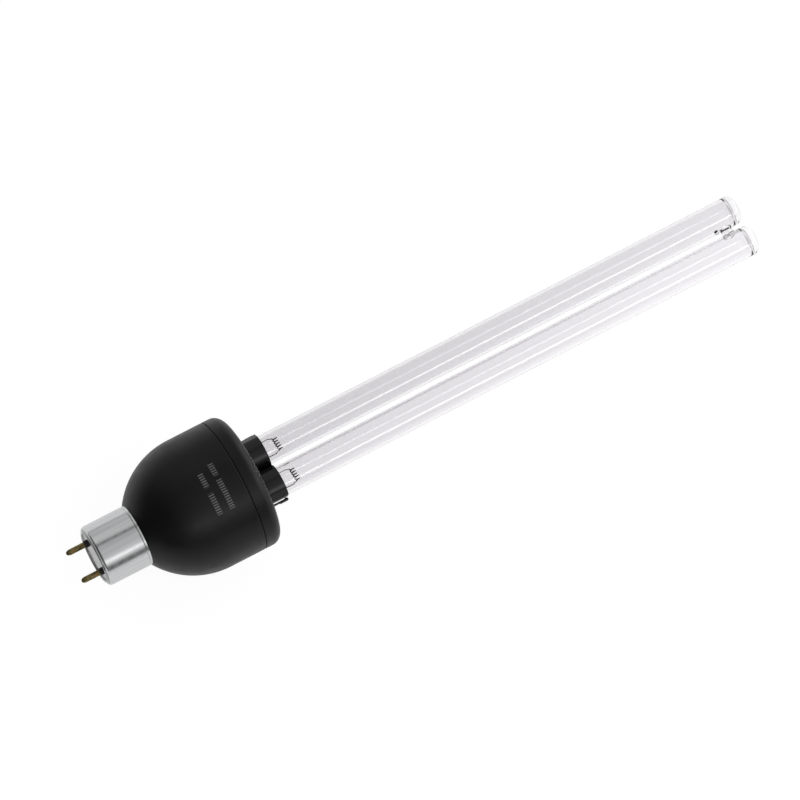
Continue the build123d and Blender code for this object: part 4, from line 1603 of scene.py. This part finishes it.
@dataclass
class Studio:
    """Pale floor, soft lamps, white surroundings and the long-lens camera.

    behind and ahead each give, over a direction's share along x, where the surroundings' level
    starts and stops to change, and from which factor to which. sky gives their level over the
    angle round the lamp, in degrees from straight up towards -y.
    """

    lens: float = 346.5
    sensor: float = 36.0
    distance: float = 3.0417
    aim: tuple[float, float, float] = (117.905, 0.048, 0.0)
    tilt_back: float = 10.8
    tilt_side: float = 15.0
    roll: float = 27.216
    floor_half: float = 0.5
    floor_white: float = 0.9
    floor_share: float = 0.85
    mirrored_share: float = 0.5
    floor_glow: float = 1.09
    behind: tuple[float, ...] = (-0.75, -0.3, 0.15, 1.0)
    ahead: tuple[float, ...] = (0.5, 0.9, 1.0, 4.0)
    sky: tuple[Point, ...] = (
        (-180, 0.85), (-91, 0.85), (-89, 0.55), (-60, 0.58), (-37, 0.65), (-27, 0.62), (-20, 0.2),
        (-16, 0.2), (-9, 0.55), (20, 0.6), (32, 0.64), (42, 0.82), (50, 1.0), (56, 0.95),
        (62, 0.7), (68, 0.4), (73, 0.16), (84, 0.14), (88, 0.5), (91, 0.85), (180, 0.85),
    )
    softboxes: tuple[Softbox, ...] = (
        Softbox("key_softbox", 50, 1.1, (1.2, 0.2), 0.35),
        Softbox("glass_softbox", 51, 1.0, (1.3, 0.2), 4.5, 120, ("quartz_tube_blown",)),
        Softbox(
            "black_softbox", 47, 1.05, (1.0, 0.25), 1.6, 20,
            ("housing_dome_moulded", "front_cover_moulded", "lamp_collar_moulded"),
        ),
    )

    def camera(self) -> None:
        """Sets the camera at the photograph's angle."""
        e, s, roll = radians(self.tilt_back), radians(self.tilt_side), radians(self.roll)
        along = LAMP.direction(1, 0, 0)
        back = LAMP.direction(-sin(e), -sin(s) * cos(e), cos(s) * cos(e)).normalized()
        level = (along - back * along.dot(back)).normalized()
        over = back.cross(level)
        right = level * cos(roll) - over * sin(roll)
        up = level * sin(roll) + over * cos(roll)
        data = bpy.data.cameras.new("camera")
        data.lens = self.lens
        data.sensor_width = self.sensor
        eye = bpy.data.objects.new("camera", data)
        bpy.context.scene.collection.objects.link(eye)
        eye.matrix_world = placed(LAMP.point(*self.aim) + back * self.distance, right, up, back)
        bpy.context.scene.camera = eye

    def floor(self) -> None:
        """Lays the pale floor, which keeps a soft shadow."""
        let_go()
        bpy.ops.mesh.primitive_plane_add(size=2 * self.floor_half, location=(0, 0, 0))
        floor = bpy.context.object
        floor.name = "studio_floor"
        material = bpy.data.materials.new("studio_floor")
        wires = Wiring(material)
        paint, glow = wires.node("BsdfDiffuse"), wires.node("Emission")
        wires.feed(paint.inputs["Color"], (*(self.floor_white,) * 3, 1))
        wires.feed(glow.inputs["Strength"], self.floor_glow)
        path = wires.node("LightPath").outputs
        seen = wires.math("MAXIMUM", path["Is Camera Ray"], path["Is Transmission Ray"])
        mirrored = wires.math("MULTIPLY", path["Is Glossy Ray"], self.mirrored_share)
        share = wires.math("MULTIPLY_ADD", seen, self.floor_share, mirrored)
        wires.end("OutputMaterial", share, paint, glow)
        floor.data.materials.append(material)

    def world(self) -> None:
        """Makes the surroundings white to the camera, and a plain grey arch to the object."""
        world = bpy.data.worlds.new("studio")
        bpy.context.scene.world = world
        wires = Wiring(world)
        way = wires.apart(wires.node("TexCoord").outputs["Generated"])
        lean = wires.math("ARCTAN2", wires.math("MULTIPLY", way["Y"], -1.0), way["Z"])
        stops = [((angle + 180) / 360, (level,) * 3) for angle, level in self.sky]
        grey = wires.blend(wires.ranged(lean, 0.0, 1.0, -pi, pi), stops)
        ends = [
            wires.ranged(way["X"], low, high, start, end, interpolation_type="SMOOTHSTEP")
            for start, end, low, high in (self.behind, self.ahead)
        ]
        light, white = wires.node("Background"), wires.node("Background")
        wires.feed(light.inputs["Color"], grey)
        wires.feed(light.inputs["Strength"], wires.math("MULTIPLY", *ends))
        wires.feed(white.inputs["Color"], (1.0, 1.0, 1.0, 1.0))
        wires.end("OutputWorld", wires.node("LightPath").outputs["Is Camera Ray"], light, white)

    def build(self) -> None:
        """Builds the studio."""
        self.camera()
        self.floor()
        self.world()
        for box in self.softboxes:
            box.hang()
        bpy.context.scene.view_settings.view_transform = "Standard"


def main() -> None:
    """Builds the lamp's pieces in order, then the studio."""
    logging.basicConfig(level=logging.INFO, format="%(name)s: %(message)s")
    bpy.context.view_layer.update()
    shop = PaintShop()
    collar = Collar(shop)
    for piece in (InnerWorks(shop), Cap(shop), collar, Housing(shop, collar), QuartzTube(shop)):
        piece.build()
        log.info("built %s", type(piece).__name__)
    Studio().build()


if __name__ == "__main__":
    main()
